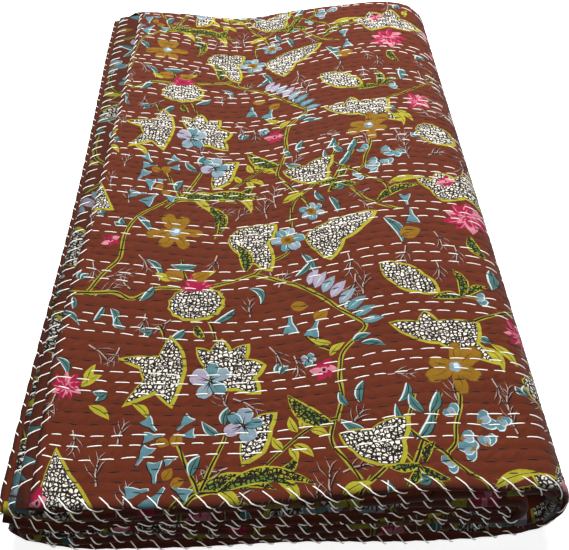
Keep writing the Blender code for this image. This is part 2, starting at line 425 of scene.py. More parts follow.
# Branches: width, then the places they run through. They are printed wider by STEM_SHARE.
STEM_SHARE = 1.35
STEMS = (
    (3.2, ((-186, -137), (-170, -135), (-150, -134), (-128, -133), (-112, -141), (-95, -132),
           (-60, -134), (-35, -128), (-15, -121))),
    (3.0, ((-15, -121), (4, -129), (26, -140), (45, -157), (58, -170), (69, -181), (60, -193),
           (50, -205), (46, -222), (46, -243), (41, -263))),
    (2.8, ((-149, -132), (-139, -112), (-128, -96), (-127, -70), (-120, -47), (-97, -27),
           (-81, -14))),
    (2.6, ((-51, -309), (-45, -295), (-39, -281), (-34, -268))),
    (2.4, ((-51, -309), (-57, -296), (-63, -283), (-68, -272))),
    (2.4, ((-64, -323), (-51, -309), (-46, -308), (-38, -309))),
    (2.4, ((-15, -121), (-3, -108), (13, -97), (14, -90))),
    (2.0, ((30, -18), (20, -35), (17, -52), (17, -66))),
    (2.6, ((44, 28), (50, 8), (58, -6), (70, -16), (80, -32), (92, -44), (112, -54))),
    (2.4, ((58, -6), (66, 12), (76, 30), (84, 52))),
    (2.2, ((150, -184), (170, -177), (190, -162), (203, -146), (198, -134))),
    (2.4, ((39, -263), (36, -276), (44, -292), (56, -312), (64, -330))),
    (2.4, ((56, -312), (70, -300), (84, -278), (90, -262), (96, -246))),
    (2.4, ((127, -238), (126, -256), (119, -274), (117, -286), (110, -294), (121, -306),
           (131, -313), (136, -330))),
    (2.0, ((110, -294), (98, -284), (86, -272))),
    (1.8, ((-75, -100), (-74, -112), (-70, -122))),
    (1.8, ((-50, -168), (-46, -180), (-42, -192))),
    (1.8, ((-88, -170), (-84, -180), (-82, -190))),
    (1.8, ((140, -158), (152, -160), (166, -172))),
    (2.0, ((41, -261), (28, -264), (17, -271), (3, -283), (-9, -294))),
    (1.6, ((44, -204), (30, -196), (24, -188))),
)

# Leaves with a crackled pale middle: how far the edge bows out, then the corners in turn.
CRACKLE_LEAVES = (
    (0.10, ((-37, -80), (-30, -66), (-12, -61), (3, -62), (-4, -84), (-2, -117), (-14, -108),
            (-24, -98))),
    (0.08, ((28, -80), (44, -66), (68, -57), (90, -54), (78, -71), (60, -86), (47, -109),
            (36, -97))),
    (0.14, ((87, -118), (104, -121), (119, -133), (128, -152), (112, -151), (96, -142))),
    (0.07, ((87, -181), (108, -182), (114, -172), (122, -182), (152, -186), (148, -205),
            (158, -223), (140, -212), (120, -203), (102, -196))),
    (0.03, ((-114, -200), (-98, -199), (-86, -200), (-79, -182), (-69, -196), (-66, -213),
            (-74, -243), (-86, -231), (-107, -240), (-95, -220), (-99, -209))),
    (0.08, ((-58, -194), (-48, -198), (-40, -187), (-33, -198), (-20, -193), (-22, -206),
            (-8, -212), (-15, -223), (-12, -236), (-28, -232), (-46, -228), (-52, -210))),
    (0.03, ((-150, -275), (-137, -293), (-122, -313), (-112, -331), (-150, -333), (-157, -305))),
    (0.05, ((-1, -254), (-12, -255), (-18, -263), (-24, -275), (-23, -290), (-9, -282),
            (-4, -265))),
    (0.10, ((42, -273), (62, -272), (88, -264), (83, -282), (79, -299), (62, -296), (50, -286))),
    (0.08, ((132, -12), (146, -16), (152, -4), (166, -14), (178, -2), (186, -20), (204, -34),
            (190, -46), (170, -40), (150, -44), (142, -28))),
)

# A round seed head with a crackled side: x, y, half width, half height.
SEED_HEADS = ((-61, -149, 22, 18), (-216, -240, 17, 15))

# Leaves with dark veins: from the stalk to the tip, then width and bend.
GREEN_LEAVES = (
    (-96, -27, -30, -30, 13, 0.16), (-66, -30, -50, -78, 11, 0.30),
    (-22, -118, -30, -84, 12, -0.12), (39, -266, 8, -239, 14, 0.12),
    (-40, -309, 25, -309, 12, 0.16), (144, -160, 143, -128, 9, -0.18),
    (146, -160, 122, -160, 9, -0.14), (150, -158, 168, -150, 8, 0.16),
    (92, -43, 138, -20, 10, 0.14), (165, -90, 174, -118, 9, -0.14), (-16, -6, -38, -18, 8, 0.20),
    (92, -300, 70, -300, 7, 0.10), (94, -300, 104, -284, 7, 0.12), (92, -302, 110, -312, 7, -0.12),
    (90, -302, 80, -316, 7, 0.12), (-60, -172, -52, -186, 7, -0.1),
)
DARK_LEAVES = (
    (96, -64, 108, -96, 9, 0.15), (60, 14, 52, 40, 6, 0.1), (62, 12, 76, 38, 6, -0.1),
    (48, -36, 40, -20, 6, 0.1), (52, -30, 58, -52, 6, 0.1), (-68, -176, -80, -186, 7, 0.1),
    (-62, -108, -84, -106, 7, 0.1), (-20, -136, -10, -154, 6, 0.3), (-30, -158, -46, -170, 6, 0.1),
    (-128, -150, -124, -166, 6, 0.2), (-122, -158, -114, -172, 6, -0.2),
    (-134, -148, -140, -162, 5, 0.1), (-106, -98, -92, -124, 5, 0.2), (58, -196, 72, -190, 6, 0.1),
    (64, -198, 82, -202, 6, 0.1), (58, -250, 62, -232, 6, 0.1), (50, -252, 44, -240, 5, 0.1),
    (92, -236, 84, -252, 6, 0.2), (100, -262, 92, -246, 7, 0.1), (104, -262, 112, -244, 7, -0.1),
    (-96, -130, -106, -144, 7, 0.1), (-160, -140, -158, -152, 5, 0.1),
    (-118, -44, -104, -66, 6, 0.1), (172, -130, 170, -152, 9, 0.1), (150, -200, 158, -206, 6, 0.1),
    (60, -272, 44, -262, 7, 0.1), (-38, -269, -51, -257, 6, 0.1), (-36, -261, -33, -247, 6, 0.1),
    (-57, -297, -51, -283, 7, 0.1), (-162, -200, -152, -215, 6, 0.2), (24, -100, 34, -124, 6, 0.1),
    (30, -112, 18, -126, 5, 0.1), (-170, -156, -150, -168, 5, 0.2),
)
RIM_LEAVES = (
    (14, -270, 9, -257, 6, 0.1), (17, -268, 22, -255, 6, 0.1), (23, -269, 35, -274, 6, 0.1),
    (11, -279, 24, -289, 6, 0.1), (4, -282, -3, -272, 6, 0.1), (8, -281, 13, -292, 6, 0.1),
    (-140, -224, -126, -214, 8, 0.1), (-136, -222, -132, -204, 7, 0.1),
    (-132, -240, -116, -252, 7, 0.1), (-40, -306, -24, -322, 8, 0.1), (40, -318, 60, -310, 8, 0.1),
    (150, -208, 162, -232, 7, 0.2), (158, -206, 172, -226, 6, 0.1), (-34, -20, -18, -44, 8, 0.2),
    (42, -196, 26, -190, 6, 0.1), (40, -208, 52, -196, 6, 0.1), (-132, 62, -118, 44, 6, 0.1),
    (136, -316, 168, -308, 8, 0.1), (-78, -122, -96, -114, 8, 0.1), (-66, -118, -46, -114, 8, -0.1),
    (-182, -300, -178, -282, 6, 0.1),
)

# Flowers: kind, x, y, radius and turn in degrees.
FLOWERS = (
    ("teal", 13, -82, 15, 10), ("teal", 35, -48, 12, 40), ("mustard", -83, -66, 24, 0),
    ("blue", -47, -224, 16, 20), ("blue", -23, -262, 14, 70), ("mustard", 128, -225, 22, 30),
    ("pink", 167, -66, 21, 0), ("crown", -61, -136, 16, 90), ("crimson", 35, -220, 10, 0),
    ("pink", 181, -192, 14, 40), ("pink", -151, -224, 13, 60), ("crimson", -158, -315, 11, 20),
    ("crimson", 158, -18, 9, 10), ("crimson", -138, -74, 8, 30), ("bud", 136, -270, 10, 20),
    ("bud", 128, -290, 9, 200), ("bud", 150, -268, 8, 300), ("bud", 120, -264, 8, 120),
    ("bell", -87, -258, 7, 130), ("bell", -84, -267, 7, 185), ("bell", -64, -258, 7, 50),
    ("bell", -62, -267, 6, 10), ("bell", -81, -294, 8, 95), ("bell", -91, -307, 8, 190),
    ("bell", -79, -312, 10, 235), ("bell", -63, -307, 7, 330), ("bell", -71, -286, 4, 200),
    ("bud", 156, -162, 8, 0), ("bell", 12, -176, 9, 270), ("bell", 30, -181, 9, 250),
    ("bell", 118, -42, 8, 90), ("bell", 120, -64, 9, 270), ("mustardbud", 20, -158, 7, 0),
    ("mustardbud", 36, -168, 7, 40), ("mustardbud", -80, -118, 9, 150),
    ("mustardbud", -58, -120, 8, 30), ("mustardbud", -77, -272, 5, 340),
    ("mustardbud", -68, -270, 6, 80), ("mustardbud", -72, -295, 5, 60),
    ("mustardbud", -65, -301, 5, 20), ("blue", 24, -210, 6, 0), ("bud", 92, 16, 9, 0),
    ("bud", 108, 12, 8, 90), ("bud", 84, -2, 8, 200), ("crimson", -188, -60, 9, 0),
    ("blue", -186, -230, 9, 0), ("bell", -120, 14, 8, 60), ("bud", -176, -92, 7, 0),
    ("mustardbud", 116, -84, 10, 20),
)
# A fan of slim petals along a branch: ink, x, y, length and turn.
PETALS = (
    ("lavender", 28, -136, 19, 62), ("lavender", 33, -140, 20, 60), ("grey blue", 39, -145, 20, 57),
    ("lavender", 45, -151, 21, 52), ("grey blue", 51, -158, 20, 47), ("teal", 57, -165, 20, 40),
    ("teal", 62, -172, 19, 30), ("teal", 67, -178, 17, 10),
)
# Bare twigs: x, y, size and turn. Then their side shoots: start, length and lean.
TWIGS = (
    (-158, -232, 26, 250), (-112, -92, 26, 300), (62, -104, 30, 270), (66, -128, 28, 255),
    (-46, -96, 24, 250), (136, -84, 26, 285), (-4, -52, 30, 95), (34, -322, 34, 92),
    (-118, -302, 28, 95), (152, -236, 24, 280), (-40, -140, 22, 230), (-140, -186, 30, 320),
    (-4, -196, 26, 300), (-30, -240, 26, 330), (176, 20, 36, 265), (158, -262, 24, 80),
    (20, 18, 24, 60), (-170, 40, 22, 280), (96, 40, 26, 100), (-150, -100, 26, 280),
    (70, -150, 26, 80), (-62, 40, 26, 110), (130, 18, 26, 95), (-100, -158, 20, 260),
    (110, -100, 24, 250), (14, -206, 22, 280),
)
TWIG_SHOOTS = ((0.2, 0.55, 34), (0.3, 0.5, -30), (0.5, 0.42, 30), (0.6, 0.36, -34))


def smooth_path(points, step=3.0):
    """A smooth curve through the points, as an array with about one point each step."""
    points = np.array(points, float)
    reach = np.concatenate([[0.0], np.cumsum(np.linalg.norm(np.diff(points, axis=0), axis=1))])
    count = max(int(reach[-1] / step), len(points))
    return smooth_rows(np.column_stack([reach, points]), np.linspace(0.0, reach[-1], count + 1))


def ribbon(points, width, taper=0.5):
    """The outline of a brushed line along the points, thinner towards its end."""
    ahead = np.gradient(points, axis=0)
    ahead /= np.maximum(np.linalg.norm(ahead, axis=1, keepdims=True), 1e-9)
    aside = np.column_stack([-ahead[:, 1], ahead[:, 0]])
    half = width / 2.0 * np.linspace(1.0, taper, len(points))[:, None]
    return np.concatenate([points + aside * half, (points - aside * half)[::-1]])


def turned(points, x, y, size=1.0, degrees=0.0):
    """Points scaled, turned and moved to x, y."""
    angle = math.radians(degrees)
    turn = np.array([[math.cos(angle), math.sin(angle)], [-math.sin(angle), math.cos(angle)]])
    return np.asarray(points, float) * size @ turn + (x, y)


def leaf_lines(x, y, tip_x, tip_y, width, bend, steps=9):
    """A leaf's outline and its middle line, from its stalk to its tip."""
    stalk, tip = np.array((x, y), float), np.array((tip_x, tip_y), float)
    aside = np.array([-(tip - stalk)[1], (tip - stalk)[0]])
    part = np.linspace(0.0, 1.0, steps)[:, None]
    middle = stalk + (tip - stalk) * part + aside * bend * 4.0 * part * (1.0 - part)
    half = width / 2.0 * np.sin(math.pi * part ** 0.85) ** 0.9
    out = half * aside / np.linalg.norm(aside)
    return np.concatenate([middle[:-1] + out[:-1], (middle - out)[:0:-1]]), middle


def drawn_in(outline, amount):
    """The outline moved inwards by an amount."""
    before, after = np.roll(outline, 1, axis=0), np.roll(outline, -1, axis=0)
    first, second = outline - before, after - outline
    first /= np.maximum(np.linalg.norm(first, axis=1, keepdims=True), 1e-9)
    second /= np.maximum(np.linalg.norm(second, axis=1, keepdims=True), 1e-9)
    inward = np.column_stack([-(first + second)[:, 1], (first + second)[:, 0]])
    long = np.linalg.norm(inward, axis=1, keepdims=True)
    side = 1.0 if doubled_area(outline) > 0.0 else -1.0
    return outline + side * amount * inward / np.maximum(long, 0.7) ** 2 * 2.0


def doubled_area(outline):
    x, y = outline[:, 0], outline[:, 1]
    return float(np.sum(x * np.roll(y, -1) - np.roll(x, -1) * y))


def bowed(corners, bow, steps=4):
    """A closed outline through the corners whose edges bow outwards between them."""
    corners = np.array(corners, float)
    side = 1.0 if doubled_area(corners) > 0.0 else -1.0
    points = []
    for start, end in zip(corners, np.roll(corners, -1, axis=0)):
        along = end - start
        out = side * bow * np.array([along[1], -along[0]])
        for part in np.arange(steps) / steps:
            points.append(start + along * part + out * 4.0 * part * (1.0 - part))
    return np.array(points)


def petal_ring(count, depth, steps):
    """A flower's outline with round petals, with a radius of one."""
    angle = np.linspace(0.0, 2.0 * math.pi, count * steps, endpoint=False)
    reach = 1.0 - depth * (1.0 - np.abs(np.sin(angle * count / 2.0)) ** 0.6)
    return np.column_stack([reach * np.cos(angle), reach * np.sin(angle)])


class Print:
    """The outlines of one repeat of the print, each with its ink, in the order they are printed."""

    def __init__(self):
        self.shapes = []

    def add(self, outline, ink):
        self.shapes.append((np.asarray(outline, float), INK[ink]))

    def line(self, points, width, ink="black", taper=0.5):
        """A brushed line."""
        self.add(ribbon(points, width, taper), ink)

    def layers(self, outline, x, y, size, degrees, *layers):
        """One outline in several inks: each layer's ink, shift to the right and up, and scale."""
        for ink, right, up, scale in layers:
            self.add(turned(outline * scale, x + right, y + up, size, degrees), ink)

    def stem(self, width, points):
        path = smooth_path(points, 4.0)
        self.line(path, width * STEM_SHARE, "stem", 0.8)
        self.line(path + 0.6 * np.sin(np.arange(len(path)) * 0.9)[:, None], 1.5, taper=0.8)

    def plain_leaf(self, *leaf):
        outline, middle = leaf_lines(*leaf)
        self.add(outline, "leaf rim")
        self.line(middle[:-1], 0.7)

    def painted_leaf(self, x, y, tip_x, tip_y, width, bend):
        outline, middle = leaf_lines(x, y, tip_x, tip_y, width, bend)
        self.add(outline + (0.5, -0.4), "black")
        self.add(outline + (-0.4, 0.3), "pale blue")
        self.add(leaf_lines(x, y, tip_x, tip_y, 0.84 * width, bend)[0] + (0.2, -0.2), "dark leaf")
        self.line(middle[:-1], 0.8)

    def veined_leaf(self, x, y, tip_x, tip_y, width, bend):
        outline, middle = leaf_lines(x, y, tip_x, tip_y, width, bend)
        self.add(outline, "leaf rim")
        self.add(leaf_lines(x, y, tip_x, tip_y, 0.80 * width, bend)[0], "leaf net")
        core = 0.2 * np.array((x, y)) + 0.8 * np.array((tip_x, tip_y))
        self.add(leaf_lines(x, y, *core, 0.52 * width, bend)[0], "leaf green")
        self.line(middle[:-1], 0.9)

    def crackle(self, outline):
        self.add(drawn_in(outline, -1.2) + (0.6, -0.5), "leaf rim")
        self.add(drawn_in(outline, 0.7) + (-0.3, 0.3), "black")
        self.add(drawn_in(outline, 1.1) + (-0.3, 0.3), "crackle")

    def crackle_leaf(self, bow, corners):
        self.crackle(bowed(corners, bow))

    def seed_head(self, x, y, half_width, half_height):
        self.crackle(turned(petal_ring(14, 0.06, 2) * (half_width, half_height), x, y))

    def twig(self, x, y, size, degrees):
        main = np.array([(0, 0), (0.35, 0.04), (0.7, -0.02), (1.0, 0.05)])
        self.line(turned(main, x + 0.8, y - 0.6, size, degrees), 1.2)
        self.line(turned(main, x, y, size, degrees), 1.1, "twig")
        for start, reach, lean in TWIG_SHOOTS:
            side = turned([(0.0, 0.0), (reach * 0.6, 0.03), (reach, -0.02)], start, 0.02, 1.0, lean)
            self.line(turned(side, x + 0.7, y - 0.6, size, degrees), 1.0)
            self.line(turned(side, x, y, size, degrees), 0.75, "twig", 0.4)

    def petal(self, ink, *place):
        outline, middle = leaf_lines(0, 0, 1.0, 0.0, 0.42, 0.05, 7)
        self.layers(outline, *place, ("black", -0.5, -0.4, 1.0), (ink, 0.0, 0.0, 1.0))
        self.line(turned(middle[1:-1], *place), 0.6, "pale blue")

    def flower(self, kind, x, y, radius, degrees):
        getattr(self, kind + "_flower")(x, y, radius, degrees)

    def teal_flower(self, x, y, radius, degrees):
        for number in range(6):
            wide = 0.30 + 0.06 * math.sin(2.9 * number + x)
            petal = turned(petal_ring(3, 0.14, 5) * (0.44, wide), 0.56, 0.0)
            place = x, y, radius, degrees + 60 * number + 8 * math.sin(2.1 * number + y)
            ink = ("teal", "grey blue")[number % 2]
            self.layers(petal, *place,
                        ("black", -0.6, -0.6, 1.0), ("pale blue", 0.5, 0.4, 1.0), (ink, 0, 0, 1.0))
            self.line(turned([(0.3, 0.0), (0.55, 0.04), (0.8, 0.0)], *place), 0.8, "pale blue")
        self.add(turned(petal_ring(7, 0.12, 3), x, y, radius * 0.40, degrees), "mustard")
        self.add(turned(petal_ring(5, 0.2, 3), x, y, radius * 0.18, degrees), "ochre")

    def mustard_flower(self, x, y, radius, degrees):
        for number in range(6):
            wide = 0.27 + 0.06 * math.sin(2.3 * number + x)
            petal = turned(petal_ring(4, 0.16, 5) * (0.44, wide), 0.56, 0.0)
            long = radius * (1.0 + 0.13 * math.sin(1.9 * number + y))
            place = x, y, long, degrees + 60 * number + 9 * math.sin(2.7 * number + x)
            self.layers(petal, *place, ("ochre", 0, 0, 1.06), ("mustard", 0, 0, 1.0))
            self.line(turned([(0.30, 0.0), (0.6, 0.05), (0.8, 0.0)], *place), 0.9, "ochre")
        eye = petal_ring(5, 0.2, 4)
        self.add(turned(eye, x, y, radius * 0.34, degrees), "mustard")
        self.add(turned(eye, x, y, radius * 0.22, degrees), "grey blue")
        self.add(turned(eye, x + 1, y + 1, radius * 0.11, degrees), "pale blue")

    def mustardbud_flower(self, *place):
        outline, middle = leaf_lines(-1.0, 0.0, 1.0, 0.0, 1.5, 0.0)
        self.add(turned(outline, *place), "mustard")
        self.line(turned(middle[1:-1], *place), 0.8, "ochre")

    def blue_flower(self, x, y, radius, degrees):
        for number in range(5):
            wide = 0.36 + 0.09 * math.sin(2.1 * number + x)
            petal = turned(petal_ring(3, 0.16, 5) * (0.46, wide), 0.55, 0.0)
            spin = degrees + 72 * number + 14 * math.sin(1.7 * number + y)
            ink = ("grey blue", "teal", "lavender")[number % 3]
            self.layers(petal, x, y, radius, spin,
                        ("black", -0.5, -0.5, 1.02), ("pale blue", 0.5, 0.4, 1.0), (ink, 0, 0, 1.0))
            for lean in (-9, 8):
                streak = turned([(0.05, 0.0), (0.3, 0.03), (0.62, 0.0)], x, y, radius, spin + lean)
                self.line(streak, 0.9)

    def pink_flower(self, x, y, radius, degrees):
        outline, middle = leaf_lines(0.0, 0.0, 1.0, 0.0, 0.46, 0.08, 7)
        for share, count in ((1.0, 9), (0.62, 7), (0.34, 5)):
            for number in range(count):
                long = radius * share * (1.0 + 0.12 * math.sin(3.1 * number + x))
                place = x, y, long, degrees + 360 / count * number + 17 * count
                inks = ("pink", "crimson") if (number + count) % 3 == 0 else ("crimson", "pink")
                self.add(turned(outline, *place), inks[0])
                self.line(turned(middle[2:-1] + (0.0, 0.08), *place), 1.1, inks[1])

    def crimson_flower(self, x, y, radius, degrees):
        outline, _ = leaf_lines(0.0, 0.0, 1.0, 0.0, 0.62, 0.1, 7)
        for number in range(6):
            long = radius * (1.0 + 0.15 * math.sin(2.3 * number + y))
            ink = "crimson" if number % 3 else "pink"
            self.add(turned(outline, x, y, long, degrees + 60 * number), ink)
        self.add(turned(petal_ring(4, 0.3, 4), x, y, radius * 0.3, degrees), "pink")
        self.add(turned(petal_ring(4, 0.3, 3), x, y, radius * 0.16, degrees), "black")

    def crown_flower(self, x, y, radius, degrees):
        outline, middle = leaf_lines(0.0, 0.0, 1.0, 0.0, 0.34, 0.06, 7)
        for number, lean in enumerate((-66, 66, -40, 40, -16, 16, 0)):
            place = x, y, radius * (1.25 if number > 3 else 1.0), degrees + lean
            self.add(turned(outline, *place), "crimson")
            self.line(turned(middle[3:-1], *place), 0.9, "pink")

    def bud_flower(self, x, y, radius, degrees):
        petal = turned(petal_ring(3, 0.12, 5) * (0.52, 0.36), 0.5, 0.0)
        for lean, long, ink in ((-34, 1.15, "teal"), (38, 1.0, "teal"), (2, 0.8, "grey blue")):
            place = x, y, radius * long, degrees + lean
            self.layers(petal, *place, ("pale blue", 0.4, -0.4, 1.08), (ink, 0, 0, 1.0))
            self.line(turned([(0.1, 0.0), (0.5, 0.05)], *place), 0.8)
        self.add(turned(petal_ring(5, 0.2, 3), x, y, radius * 0.20, degrees), "mustard")

    def bell_flower(self, *place):
        half = np.array([(-0.9, 0.10), (-0.2, 0.16), (0.5, 0.5), (1.0, 0.62), (0.86, 0.1)])
        bell = np.concatenate([half, (half * (1.0, -1.0))[::-1]])
        self.layers(bell, *place,
                    ("black", -0.7, -0.6, 1.0), ("pale blue", 0.7, 0.4, 1.0), ("teal", 0, 0, 1.0))


def clear_of(x, y, taken):
    """Whether a sprig at x, y and its copies in the next repeats keep clear of what is taken."""
    steps = (
        (0, 0), (REPEAT_X, 0), (-REPEAT_X, 0),
        (REPEAT_LEAN, REPEAT_Y), (-REPEAT_LEAN, -REPEAT_Y),
    )
    return all(
        math.hypot(x + across - x1, y + up - y1) > room + SPRIG_GAP
        for across, up in steps
        for x1, y1, room in taken
    )


def sprigs():
    """Places for small sprigs, seeded, where one repeat has room: (x, y, turn, twig or leaves)."""
    chance = np.random.default_rng(SPRIG_SEED)
    taken = [(x, y, radius + 5.0) for _, x, y, radius, _ in FLOWERS]
    taken += [(x, y, 0.4 * size) for x, y, size, _ in TWIGS]
    for leaf in (*DARK_LEAVES, *RIM_LEAVES, *GREEN_LEAVES):
        taken += [(*leaf[:2], SPRIG_ROOM), (*leaf[2:4], SPRIG_ROOM)]
    for _, corners in CRACKLE_LEAVES:
        middle = np.mean(corners, axis=0)
        reach = np.linalg.norm(np.array(corners) - middle, axis=1)
        taken.append((*middle, 0.8 * float(np.max(reach))))
    found = []
    for _ in range(SPRIG_TRIES):
        x, y = chance.uniform(*SPRIG_BOX)
        turn, kind = chance.uniform(0, 360), chance.uniform()
        if clear_of(x, y, taken):
            taken.append((x, y, SPRIG_ROOM))
            found.append((x, y, turn, kind))
    return found


def one_repeat():
    """All the motifs of one repeat, from the ones that lie lowest."""
    cloth = Print()
    for x, y, turn, kind in sprigs():
        if kind < TWIG_SHARE:
            cloth.twig(x, y, 19.0 + 9.0 * kind, turn)
            continue
        for tip in turned([(9.0, 3.0), (8.0, -5.0)], x, y, 1.0, turn):
            cloth.painted_leaf(x, y, *tip, 5.5, 0.12)
    for motif, places in (
        (cloth.twig, TWIGS), (cloth.stem, STEMS), (cloth.painted_leaf, DARK_LEAVES),
        (cloth.plain_leaf, RIM_LEAVES), (cloth.crackle_leaf, CRACKLE_LEAVES),
        (cloth.seed_head, SEED_HEADS), (cloth.veined_leaf, GREEN_LEAVES), (cloth.petal, PETALS),
        (cloth.flower, FLOWERS),
    ):
        for place in places:
            motif(*place)
    return cloth.shapes


# ---- The cloth's mesh, laid out flat in a drawing plane in millimetres ----
TURN_ROOM = 0.027
HEM_STRETCH = 8.0
HEM_STATIONS = (0.0, 0.0004, 0.0015, 0.0040, 0.0085)
HEM_BAND = 0.012
HEM_STEP = WHIP_PITCH / 3.0
FAR_HEM_STEP = WHIP_PITCH / 2.0
NOSE_MARGIN = 0.0003
ROW_STATIONS = (0.0, 0.18, 0.5, 0.82)
STATION_GAP = 0.0003
BEYOND = 9.0
# How far apart the mesh's points lie along runs and round turns, by side, and where the pile shows.
RUN_STEPS = {1: (0.034, 0.0065), -1: (0.070, 0.0090)}
TOP_STEP = 0.0043
FRONT_STEPS = (0.006, 0.0009)
BACK_STEPS = (0.008, 0.0025)
LEFT_STEPS = (0.003, 0.008)
FRONT_ROOM, BACK_ROOM = 0.002, 0.005
# Print outlines: shortest edge, areas of motifs left out where little shows, and edge thinning.
SHORTEST_EDGE = 0.0008
SMALL_MOTIF = 2.0e-5
LARGE_MOTIF = 1.1e-4
# Longest edges of print outlines: on the top, inside the pile, near a hem, and elsewhere
TOP_EDGE, INNER_EDGE, HEM_EDGE, PLAIN_EDGE = 0.0045, 0.018, 0.004, 0.006
# How far the print goes on past the front folds, and where the hem's own print starts from there
FRONT_PRINT, FRONT_GAP = 0.005, 0.007
CROWDED = 1.5
LONGEST_STRAIGHT = 5.0
STRAIGHT_WITHIN = 0.10
# How much painted shade darkens the hems and front folds, as a relief height, and the strip at the
# left, as a share of it
HEM_PAINTED_SHADE = 0.0024
HEM_PAINTED_SHADE_WIDTH = 0.0034
STRIP_PAINTED_SHADE, STRIP_WIDTH, STRIP_REACH = 0.6, 0.03, 0.04
RELIEF_UNIT = 0.0004


def drawing_table(pieces, length):
    """Places along the flat sheet and in the drawing plane, which widens turns and hem edges."""
    places, drawn = [0.0, HEM_RADIUS], [0.0, HEM_RADIUS * HEM_STRETCH]
    marks = [(length - HEM_RADIUS, 1.0), (length, HEM_STRETCH)]
    for reached, long, _, _, _, rise, _ in pieces:
        if rise != 0.0:
            marks += [(reached, 1.0), (reached + long, max(1.0, TURN_ROOM / long))]
    for place, stretch in sorted(marks):
        drawn.append(drawn[-1] + (place - places[-1]) * stretch)
        places.append(place)
    return np.array(places), np.array(drawn) * 1000.0


DRAWN_ACROSS = drawing_table(ACROSS, QUILT_WIDTH)
DRAWN_ALONG = drawing_table(ALONG, QUILT_LENGTH)


def redrawn(points, *tables):
    """Points moved by one table of places for each axis."""
    return np.column_stack([np.interp(axis, *table) for axis, table in zip(points.T, tables)])


def to_plane(points):
    """Flat points (a, b) in the drawing plane."""
    return redrawn(points, DRAWN_ACROSS, DRAWN_ALONG)


def from_plane(points):
    """Flat points (a, b) from points of the drawing plane."""
    return redrawn(points, DRAWN_ACROSS[::-1], DRAWN_ALONG[::-1])


def hem_stations(length):
    """Stations close to both hems of a side of this length."""
    near = np.array(HEM_STATIONS)
    return np.concatenate([near, length - near])


def run_stations(pieces, length, run_step, turn_step):
    """Stations from hem to hem: far apart along the runs, closer round the turns."""
    stations = [hem_stations(length)]
    for reached, long, _, _, _, rise, _ in pieces:
        step = turn_step if rise != 0.0 else run_step
        count = max(int(round(long / step)), 6 if rise != 0.0 else 2)
        stations.append(np.linspace(reached, reached + long, count + 1))
    stations = np.unique(np.round(np.concatenate(stations), 5))
    return stations[np.concatenate([[True], np.diff(stations) > STATION_GAP])]


def even_stations(start, end, step):
    return np.linspace(start, end, int(round((end - start) / step)) + 1)


def hem_marks(length, shown):
    """Stations along a hem, closer together over the part that lies on top."""
    near, far = even_stations(0.0, shown, HEM_STEP), even_stations(shown, length, FAR_HEM_STEP)
    return np.concatenate([near[:-1], far])


def grid(across, along):
    """All points of a lattice."""
    a, b = np.meshgrid(across, along, indexing="ij")
    return np.column_stack([a.ravel(), b.ravel()])


def row_lattice(across, start, end):
    """A lattice whose rows follow the sewn rows, each row of stitches with its puffs."""
    last = int((end + ROW_WAVE - FIRST_ROW) / ROW_PITCH) + 1
    points = []
    for row in range(-1, last):
        for phase in ROW_STATIONS:
            stray = row_shift(across, row) * (1.0 - phase) + row_shift(across, row + 1) * phase
            along = row_place(across, row + phase + stray / ROW_PITCH)
            points.append(np.column_stack([across, along]))
    points = np.concatenate(points)
    return points[(points[:, 1] >= start) & (points[:, 1] < end)]


def in_box(points, box):
    """Which flat points lie in a box: (from a, to a, from b, to b)."""
    a, b = points.T
    return (a >= box[0]) & (a < box[1]) & (b >= box[2]) & (b < box[3])


def shown_regions():
    """Boxes of the sheet that the pile shows, each with its points."""
    shown = even_stations(HEM_BAND, SHOWN_WIDTH, TOP_STEP)
    wide, close = FRONT_STEPS
    front = even_stations(*FRONT_FOLD, close)
    front = np.concatenate([[front[0] - wide], front, [front[-1] + wide]])
    across_front = even_stations(0.0, QUILT_WIDTH, wide)
    across_back = even_stations(SHOWN_WIDTH, QUILT_WIDTH, BACK_STEPS[0])
    back = even_stations(BACK_FOLD[0] - BACK_ROOM, SHOWN_LENGTH, BACK_STEPS[1])
    left = even_stations(LEFT_FOLD[0] - FOLD_MARGIN, LEFT_FOLD[1] + FOLD_MARGIN, LEFT_STEPS[0])
    along_left = even_stations(0.0, SHOWN_LENGTH, LEFT_STEPS[1])
    top = row_lattice(shown, HEM_BAND, SHOWN_LENGTH)
    return [
        ((HEM_BAND, SHOWN_WIDTH, HEM_BAND, SHOWN_LENGTH), top),
        (
            (-BEYOND, BEYOND, front[0] - FRONT_ROOM, front[-1] + FRONT_ROOM),
            grid(across_front, front),
        ),
        ((SHOWN_WIDTH, BEYOND, back[0], back[-1]), grid(across_back, back)),
        ((left[0], left[-1], 0.0, SHOWN_LENGTH), grid(left, along_left)),
    ]


